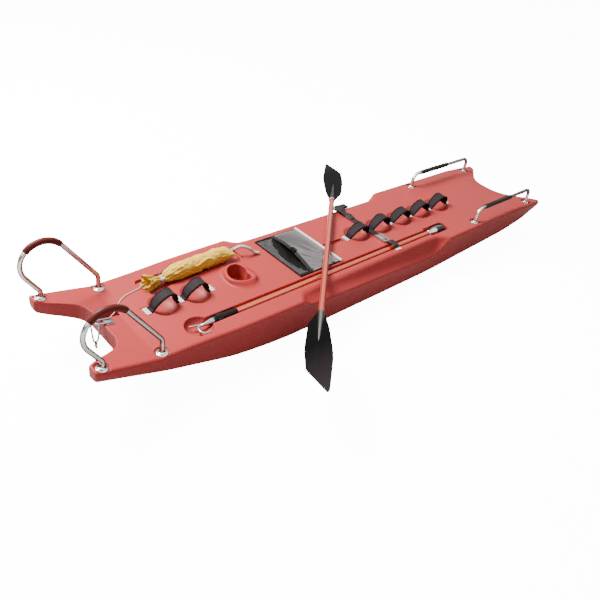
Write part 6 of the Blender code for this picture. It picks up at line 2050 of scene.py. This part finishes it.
class RESCUEBOARD_OT_cross_strap(bpy.types.Operator):
    """Strap over the boat hook: webbing, folded spare end, cam buckle and anchor plates"""
    bl_idname = "rescueboard.cross_strap"
    bl_label = "Cross strap"

    def execute(self, context):
        """Build the strap's pieces and finish its anchor plates."""
        face = webbing("cross_webbing", looks().webbing.edge, 0.0016, 0.42, tone=0.6, Specular_IOR_Level=0.25)
        bottom = DECK + STRAP_UP
        port_end = STRAP_PORT_Y - STRAP_ANCHOR_LENGTH
        buckle_port = BUCKLE_Y + BUCKLE_LENGTH / 2
        buckle_starboard = BUCKLE_Y - BUCKLE_LENGTH / 2
        low_z = DECK + 0.0022

        def lay(name, corners, steps, wave):
            line = rounded(corners, closed=False, steps=8)
            line = smooth_route([(STRAP_X, a, b) for a, b in line], steps)
            for number, point in enumerate(line):
                share = math.sin(math.pi * number / steps)
                point[2] += wave * share * abs(noise.noise(Vector((point[1] * 14, 2.0, 0.0))))
            shape = strap_shape(line, (1, 0, 0), STRAP_WIDTH, STRAP_THICKNESS)
            webbing_piece(f"{name}_webbing", shape, face, [name])

        lay("cross_strap", ((buckle_port + GAP, bottom - 0.001, 0), (buckle_port + 0.040, bottom + 0.001, 0.060),
                            (port_end - 0.060, bottom, 0.060), (port_end - GAP, low_z, 0)), 80, 0.003)
        starboard_end = STRAP_STARBOARD_Y + STRAP_ANCHOR_LENGTH
        crest = DECK + STRAP_HUMP
        lay("cross_strap_tail", ((starboard_end + GAP, low_z, 0), (starboard_end + 0.004, low_z, 0.002),
                                 (starboard_end + 0.012, crest - 0.002, 0.009),
                                 (buckle_starboard - 0.018, crest, 0.018),
                                 (buckle_starboard - 0.006, bottom + 0.003, 0.004),
                                 (buckle_starboard - GAP, bottom + 0.003, 0)), 60, 0.0)
        low_corner, high_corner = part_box("cross_strap_fold")
        half = (high_corner.x - low_corner.x) / 2 - 0.002
        step = (high_corner.z - low_corner.z - STRAP_THICKNESS) / 2
        fold = rounded(((-half, 0, 0), (half, 0, 0.0024), (half + 0.001, step, 0.0024), (-half, step, 0.0024),
                        (-half - 0.001, 2 * step, 0.0024), (half * 0.9, 2 * step, 0)), closed=False, steps=5)
        middle = (low_corner + high_corner) / 2
        line = [(middle.x + a, middle.y, low_corner.z + STRAP_THICKNESS / 2 + b) for a, b in fold]
        line = smooth_route(line, 110)
        shape = strap_shape(line, (0, -1, 0), high_corner.y - low_corner.y, STRAP_THICKNESS)
        webbing_piece("cross_strap_fold_webbing", shape, face, ["cross_strap_fold"])

        # Spare end of the strap, laid back loosely over it from the port edge.
        line = smooth_route((
            (STRAP_X + 0.010, STRAP_PORT_Y - 0.004, DECK + 0.015),
            (STRAP_X + 0.006, STRAP_PORT_Y - 0.035, DECK + 0.019),
            (STRAP_X - 0.004, STRAP_PORT_Y - 0.075, DECK + 0.014),
            (STRAP_X + 0.002, STRAP_PORT_Y - 0.115, DECK + 0.0095),
            (STRAP_X, STRAP_PORT_Y - 0.150, DECK + 0.0080),
        ), 60)
        roll = [0.30 * math.sin(0.16 * k) * math.sin(math.pi * k / 60) for k in range(61)]
        across = [(math.cos(a), 0.0, math.sin(a)) for a in roll]
        width = np.interp(np.arange(61), (0, 25, 60), SPARE_WIDTHS + (STRAP_WIDTH,))
        shape = strap_shape(line, across, width, SPARE_THICKNESS, cup=0.002)
        webbing_piece("cross_strap_spare_webbing", shape, face)

        metal = cast_metal()
        low_corner, high_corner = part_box("cam_buckle")
        c = (low_corner + high_corner) / 2
        h = (high_corner - low_corner) / 2
        shapes = []
        for side in (-1, 1):
            x = c.x + side * (h.x - 0.0025)
            shapes.append(box_shape((x - 0.0022, low_corner.y, low_corner.z),
                                    (x + 0.0022, high_corner.y, high_corner.z - 0.0015), 0.0016))
        shapes.append(box_shape((low_corner.x + 0.003, low_corner.y, low_corner.z),
                                (high_corner.x - 0.003, high_corner.y, low_corner.z + 0.0045), 0.0012))
        lever = Matrix.Translation((c.x, c.y + 0.006, high_corner.z - 0.0042))
        lever = lever @ Matrix.Rotation(math.radians(-5), 4, "X")
        shapes.append(box_shape((-h.x + 0.005, -h.y * 0.62, -0.0016), (h.x - 0.005, h.y * 0.68, 0.0016), 0.0014, lever))
        pin = [(0, 0.0030), (0.0006, 0.0034), (2 * h.x - 0.0022, 0.0034), (2 * h.x - 0.0016, 0.0030)]
        for y in (c.y - h.y * 0.55, c.y + h.y * 0.30):
            shapes.append(turned((low_corner.x + 0.0008, y, c.z + 0.0005), (1, 0, 0), pin, 20))
        piece("cam_buckle_frame", *joined(shapes), metal, stands_for=["cam_buckle"], slot="dull_steel", sharp=30.0)
        for side in ("port", "starboard"):
            finish_plate(f"strap_anchor_{side}")
        return {"FINISHED"}


# Tow gear.


class RESCUEBOARD_OT_tow_gear(bpy.types.Operator):
    """Tow eye at the notch and the snap hook that swings on it"""
    bl_idname = "rescueboard.tow_gear"
    bl_label = "Tow eye and snap hook"

    def execute(self, context):
        """Build the eye, and the hook's wire, gate, ball and swivel ring."""
        forged, metal = forged_steel(), cast_metal()

        def rod_up(x):
            return DECK + deck_up(x) + GAP + EYE_PLATE_THICKNESS + 0.7 * EYE_ROD_RADIUS

        tilt = deck_tilt(EYE_PLATE_X)
        normal = Vector((math.sin(tilt), 0, math.cos(tilt)))
        seat = Vector((EYE_PLATE_X, EYE_Y, DECK + deck_up(EYE_PLATE_X))) + normal * (GAP + EYE_PLATE_THICKNESS / 2)
        lie = Matrix.Translation(seat) @ Matrix.Rotation(tilt, 4, "Y")
        half = Vector((EYE_PLATE_LENGTH / 2, EYE_PLATE_WIDTH / 2, EYE_PLATE_THICKNESS / 2))
        shapes = [box_shape(-half, half, 0.0008, lie)]
        bend = EYE_BEND_RADIUS
        legs = []
        for side in (-1, 1):
            y = EYE_Y + side * EYE_HALF_WIDTH
            leg = [(x, y, rod_up(x)) for x in (EYE_PLATE_X + 0.012, EYE_BAR_X + bend)]
            for k in range(1, 7):
                angle = math.pi / 2 * k / 6
                x = EYE_BAR_X + bend * (1 - math.sin(angle))
                leg.append((x, y - side * bend * (1 - math.cos(angle)), rod_up(x)))
            legs += leg if side < 0 else leg[::-1]
        shapes.append(swept(rod(legs, EYE_ROD_RADIUS, 0.001), 24))
        for side in (-1, 1):
            for ahead in (-1, 1):
                spot = lie @ Vector((ahead * EYE_SCREW_X, side * EYE_SCREW_Y, EYE_PLATE_THICKNESS / 2 - SCREW_SINK))
                shapes.append(screw_head(spot, normal, EYE_SCREW_RADIUS))
        piece("tow_eye_steel", *joined(shapes), forged, stands_for=["tow_eye"], slot="steel")

        pivot = Vector((EYE_BAR_X, EYE_Y, rod_up(EYE_BAR_X)))
        top_centre = EYE_ROD_RADIUS + 0.0006 - HOOK_TOP_RADIUS
        bottom_centre = top_centre - HOOK_LENGTH + HOOK_TOP_RADIUS + HOOK_BOTTOM_RADIUS
        top_reach = HOOK_TOP_RADIUS + HOOK_WIRE_RADIUS
        bottom_reach = HOOK_BOTTOM_RADIUS + HOOK_WIRE_RADIUS
        turns = [math.pi * k / 20 for k in range(21)]
        top = [(top_reach * math.cos(a), top_centre + top_reach * math.sin(a)) for a in turns]
        bottom = [(bottom_reach * math.cos(math.pi + a), bottom_centre + bottom_reach * math.sin(math.pi + a))
                  for a in turns]
        aft_top, aft_bottom = Vector(top[-1]), Vector(bottom[0])
        side_length = (aft_bottom - aft_top).length
        along = (aft_bottom - aft_top) / side_length
        gate_from = aft_top + along * (side_length - HOOK_GATE_LENGTH) / 2
        gate_to = gate_from + along * HOOK_GATE_LENGTH
        wire = [tuple(gate_to)] + bottom + top + [tuple(gate_from)]
        wire = [pivot + Vector((x, 0, z)) for x, z in wire]
        piece("snap_hook_wire", *swept(rod(wire, HOOK_WIRE_RADIUS, 0.0008), 20), forged, body="hook",
              stands_for=["snap_hook"], slot="steel")
        ends = [gate_from + along * GAP, gate_to - along * GAP]
        first, last = (pivot + Vector((p.x, 0, p.y)) for p in ends)
        axis = (last - first).normalized()
        long = (last - first).length
        r = HOOK_GATE_RADIUS
        profile = [(0, r * 0.7), (0.001, r), (0.006, r), (0.007, r * 0.78), (long - 0.007, r * 0.78), (long - 0.006, r),
                   (long - 0.001, r), (long, r * 0.7)]
        piece("snap_gate_rod", *turned(first, axis, profile, 20), metal, body="hook", stands_for=["snap_gate"],
              slot="dull_steel")
        collar_z = bottom_centre - HOOK_BOTTOM_RADIUS - 2 * HOOK_WIRE_RADIUS
        profile = [(GAP, 0.0035), (0.0012, 0.0052), (0.0030, 0.0060), (0.0070, 0.0060), (0.0088, 0.0052),
                   (SWIVEL_BALL_LENGTH - GAP, 0.0035)]
        piece("snap_swivel_ball", *turned(pivot + Vector((0, 0, collar_z)), (0, 0, -1), profile, 24), black_moulding(),
              body="hook", stands_for=["snap_swivel_collar"], slot="black_plastic")
        centre = pivot + Vector((0, 0, collar_z - SWIVEL_BALL_LENGTH - SWIVEL_RING_RADIUS - SWIVEL_WIRE_RADIUS))
        points = []
        for a in round_angles(40):
            out = Vector((0, math.cos(a), math.sin(a)))
            for b in round_angles(16):
                points.append(centre + out * (SWIVEL_RING_RADIUS + SWIVEL_WIRE_RADIUS * math.cos(b))
                              + Vector((SWIVEL_WIRE_RADIUS * math.sin(b), 0, 0)))
        piece("snap_swivel_ring", points, tube_faces(40, 16, closed=True), forged, body="hook",
              stands_for=["snap_swivel_eye"], slot="steel")
        return {"FINISHED"}


# Paddle.


def blade_outline():
    """Outline of a blade as (distance from its neck, offset), wider on the side of its point."""
    long, wide = BLADE_LENGTH, BLADE_HALF_WIDTH
    return rounded((
        (0.000, -0.26 * wide, 0),
        (0.20 * long, -0.68 * wide, 0.25),
        (0.56 * long, -1.12 * wide, 0.60),
        (0.98 * long, -1.02 * wide, 0.03),
        (1.025 * long, -0.90 * wide, 0.006),
        (0.80 * long, 0.66 * wide, 0.05),
        (0.55 * long, 0.92 * wide, 0.45),
        (0.20 * long, 0.86 * wide, 0.13),
        (0.000, 0.26 * wide, 0),
    ), steps=12)


def blade_shape():
    """Blade in its own lengths: thin edges, a spine that runs out towards the tip and a shallow crease."""
    outline = np.array(blade_outline())
    rows, columns = 90, 24
    reach = outline[:, 0].max() - 0.0015
    tip = np.argmax(outline[:, 0])
    lower = outline[:tip + 1]
    upper = outline[tip:][::-1]
    lower = lower[np.argsort(lower[:, 0], kind="stable")]
    upper = upper[np.argsort(upper[:, 0], kind="stable")]
    top = np.zeros((rows + 1, columns + 1, 3))
    bottom = np.zeros((rows + 1, columns + 1, 3))
    for i in range(rows + 1):
        share = i / rows
        x = reach * share
        a, b = np.interp(x, lower[:, 0], lower[:, 1]), np.interp(x, upper[:, 0], upper[:, 1])
        for j in range(columns + 1):
            t = 0.5 - 0.5 * math.cos(math.pi * j / columns)
            y = a + (b - a) * t
            edge = 4 * t * (1 - t)
            thick = 0.0011 + 0.0013 * min(1.0, edge * 2)
            run = max(0.0, 1 - x / (0.80 * BLADE_LENGTH))
            spine_half = 0.004 + 0.013 * run
            spine = 0.0085 * run ** 1.3 * max(0.0, 1 - (y / spine_half) ** 2) ** 0.6
            ridge_y = 0.30 * BLADE_HALF_WIDTH * max(0.0, 1 - x / (0.72 * BLADE_LENGTH)) + 0.001
            ridge = 0.0042 * math.exp(-((y + ridge_y) / 0.0045) ** 2) * min(1.0, x / 0.08) * min(1.0, run * 4)
            crease = 0.0012 * min(1.0, abs(y) / 0.03) * min(1.0, x / 0.05)
            top[i, j] = (x, y, thick + max(spine, ridge) - crease * 0.5 + 0.0006)
            bottom[i, j] = (x, y, -thick - spine * 0.9 - crease * 0.5 + 0.0006)
    return slab_shape(top, bottom)


class RESCUEBOARD_OT_paddle(bpy.types.Operator):
    """Double-bladed paddle that lies across the deck"""
    bl_idname = "rescueboard.paddle"
    bl_label = "Paddle"

    def execute(self, context):
        """Build the shaft and the two blades with their sockets."""
        height = DECK + GAP + 2 * BATTEN_RADIUS + GAP + SHAFT_RADIUS
        centre = Vector((PADDLE_X, PADDLE_Y, height))
        yaw = Matrix.Rotation(PADDLE_YAW, 4, "Z")
        half = PADDLE_LENGTH / 2 - BLADE_LENGTH
        ahead = yaw @ Vector((1, 0, 0))
        line = [centre + ahead * (-half + GAP + (2 * half - 2 * GAP) * k / 40) for k in range(41)]
        piece("paddle_shaft_tube", *swept(rod(line, SHAFT_RADIUS, 0.001), 40), orange_lacquer(),
              stands_for=["paddle_shaft"], slot="orange_tube")
        # Painted sheen: the blades turn from black to a paler grey towards their tips.
        blade = skin("blade_moulding", (0.0008, 0.0008, 0.0008), (0.008, 0.006, 0.007), 0.36, wear=0.5, grain=800.0,
                     cloud=9.0, bump=0.10, Specular_IOR_Level=0.03,
                     along=((0.0175, 0.0130, 0.0150), 0.58, 0.77))
        # The socket keeps its pale grey where it faces the camera and fades to black towards its grazing edges: partly
        # its own grey, partly a painted highlight, with painted shade at the edges.
        grey = skin("grey_moulding", looks().gear.socket, (0.2, 0.18, 0.18), 0.30, wear=0.3, grain=700.0, cloud=15.0,
                    bump=0.08, side=((0.004, 0.004, 0.004), 0.08, 0.40))
        for name, turn in (("port", 0.0), ("starboard", math.pi)):
            place = Matrix.Translation(centre) @ yaw @ Matrix.Rotation(turn, 4, "Z") @ Matrix.Translation((half, 0, 0))
            points, faces = blade_shape()
            points = [(x, -y, z) for x, y, z in points]
            faces = [face[::-1] for face in faces]
            points = [place @ Vector(tuple(point)) for point in points]
            piece(f"paddle_blade_{name}_moulding", points, faces, blade, stands_for=[f"paddle_blade_{name}"],
                  slot="black_plastic", sharp=50.0)
            wide = BLADE_SOCKET_RADIUS - 0.0002
            profile = [(0.0004, wide - 0.0010), (0.0014, wide)]
            profile += [(0.002 + (BLADE_SOCKET_LENGTH - 0.002) * k / 24, wide * (1 - k / 24) ** 1.3 + 0.0010)
                        for k in range(25)]
            direction = place.to_3x3() @ Vector((1, 0, 0))
            piece(f"paddle_socket_{name}", *turned(place.to_translation(), direction, profile, 32), grey,
                  slot="black_plastic", sharp=50.0)
        return {"FINISHED"}


# Stage.


def floor_material(colour, glow):
    """Pale floor that looks as bright as a lit backdrop and throws less light back on the board."""
    material = skin("studio_floor", colour, colour, 0.80, wear=0.0, grain=60.0, cloud=0.6, bump=0.02)
    tree = material.node_tree
    shader = tree.nodes["Principled BSDF"]
    shader.inputs["Specular IOR Level"].default_value = 0.15
    ray = put(tree, "LightPath")
    seen = ray.outputs["Is Camera Ray"]
    base = shader.inputs["Base Color"].links[0].from_socket
    shade = blend_colours(tree, ray.outputs["Is Glossy Ray"], (0.55, 0.55, 0.55, 1.0), (0.60, 0.59, 0.57, 1.0))
    darker = blend_colours(tree, 1.0, base, shade, "MULTIPLY")
    tree.links.new(blend_colours(tree, seen, darker, base), shader.inputs["Base Color"])
    glowing = put(tree, "Emission", {"Color": rgba(colour), "Strength": math_node(
        tree, "MULTIPLY", seen, glow)})
    both = put(tree, "AddShader", {0: shader.outputs[0], 1: glowing.outputs[0]})
    tree.links.new(both.outputs[0], tree.nodes["Material Output"].inputs["Surface"])
    return material


class RESCUEBOARD_OT_stage(bpy.types.Operator):
    """Pale floor, soft studio light and the camera at the photograph's angle"""
    bl_idname = "rescueboard.stage"
    bl_label = "Stage and camera"

    def execute(self, context):
        """Make the floor, the lights and the camera."""
        stage = looks().stage
        scene = context.scene
        mesh = bpy.data.meshes.new("floor")
        corners = [(x * FLOOR_HALF_SIZE, y * FLOOR_HALF_SIZE, FLOOR_Z) for x, y in ((-1, -1), (1, -1), (1, 1), (-1, 1))]
        mesh.from_pydata(corners, [], [(0, 1, 2, 3)])
        floor = placed("floor", mesh)
        mesh.materials.append(floor_material(stage.floor, stage.floor_glow))

        world = bpy.data.worlds.new("studio")
        scene.world = world
        world.use_nodes = True
        tree = world.node_tree
        background = tree.nodes["Background"]
        direction = put(tree, "TexCoord").outputs["Generated"]
        height = put(tree, "SeparateXYZ", {0: direction}).outputs[2]
        ramps = []
        for rows in (WORLD_TONES, WORLD_GLOSSY_TONES):
            ramp = put(tree, "ValToRGB", {0: height})
            stops = ramp.color_ramp.elements
            while len(stops) > 1:
                stops.remove(stops[-1])
            stops[0].position, stops[0].color = rows[0][0], (rows[0][1], rows[0][1], rows[0][1], 1)
            for place, tone in rows[1:]:
                stops.new(place).color = (tone, tone * 0.98, tone * 0.95, 1)
            ramps.append(ramp.outputs[0])
        ray = put(tree, "LightPath")
        around = blend_colours(tree, ray.outputs["Is Glossy Ray"], *ramps)
        tree.links.new(blend_colours(tree, ray.outputs["Is Camera Ray"], around, (16.0, 16.0, 16.0, 1)),
                       background.inputs["Color"])
        background.inputs["Strength"].default_value = 1.0

        for name, place, width, share in LIGHTS:
            data = bpy.data.lights.new(name, "AREA")
            data.shape = "SQUARE"
            data.size = width
            data.energy = share * stage.key_power
            lamp = placed(name, data)
            lamp.location = place
            lamp.rotation_euler = (Vector(LIGHT_TARGET) - Vector(place)).to_track_quat("-Z", "Y").to_euler()

        data = bpy.data.cameras.new("photo_camera")
        data.sensor_width = 36.0
        data.lens = stage.lens
        camera = placed("photo_camera", data)
        place = Vector(CAMERA_PLACE)
        ahead = (Vector(CAMERA_TARGET) - place).normalized()
        right = ahead.cross(Vector((0, 0, 1))).normalized()
        above = right.cross(ahead)
        roll = math.radians(CAMERA_ROLL)
        across = right * math.cos(roll) + above * math.sin(roll)
        upward = above * math.cos(roll) - right * math.sin(roll)
        turn = Matrix((across, upward, -ahead)).transposed().to_4x4()
        camera.matrix_world = Matrix.Translation(place) @ turn
        scene.camera = camera
        return {"FINISHED"}


STEPS = (
    RESCUEBOARD_OT_stage,
    RESCUEBOARD_OT_cords,
    RESCUEBOARD_OT_hull,
    RESCUEBOARD_OT_handles,
    RESCUEBOARD_OT_loops,
    RESCUEBOARD_OT_boat_hook,
    RESCUEBOARD_OT_throw_bag,
    RESCUEBOARD_OT_pocket,
    RESCUEBOARD_OT_cross_strap,
    RESCUEBOARD_OT_tow_gear,
    RESCUEBOARD_OT_paddle,
)
GROUPS_OF_LOOKS = (HullLooks, MetalLooks, RubberLooks, WebbingLooks, BagLooks, PocketLooks, GearLooks, StageLooks,
                   BoardLooks)


class RESCUEBOARD_PT_panel(bpy.types.Panel):
    """Sizes and colours of the board, and a button for each of its pieces"""
    bl_idname = "RESCUEBOARD_PT_panel"
    bl_label = "Ice rescue board"
    bl_space_type = "VIEW_3D"
    bl_region_type = "UI"
    bl_category = "Rescue board"

    def draw(self, context):
        """List the looks and the buttons."""
        board = context.scene.rescue_board
        for key in BoardLooks.__annotations__:
            box = self.layout.box()
            box.label(text=key.title())
            for name in getattr(board, key).__annotations__:
                box.prop(getattr(board, key), name)
        for step in STEPS:
            self.layout.operator(step.bl_idname)


CLASSES = GROUPS_OF_LOOKS + STEPS + (RESCUEBOARD_PT_panel,)


def register():
    """Register the classes and hang the looks on the scene."""
    for entry in CLASSES:
        bpy.utils.register_class(entry)
    bpy.types.Scene.rescue_board = PointerProperty(type=BoardLooks)


def unregister():
    """Take the looks off the scene and unregister the classes."""
    del bpy.types.Scene.rescue_board
    for entry in reversed(CLASSES):
        bpy.utils.unregister_class(entry)


def main():
    """Build the whole board."""
    register()
    for step in STEPS:
        area, name = step.bl_idname.split(".")
        getattr(getattr(bpy.ops, area), name)()


if __name__ == "__main__":
    main()
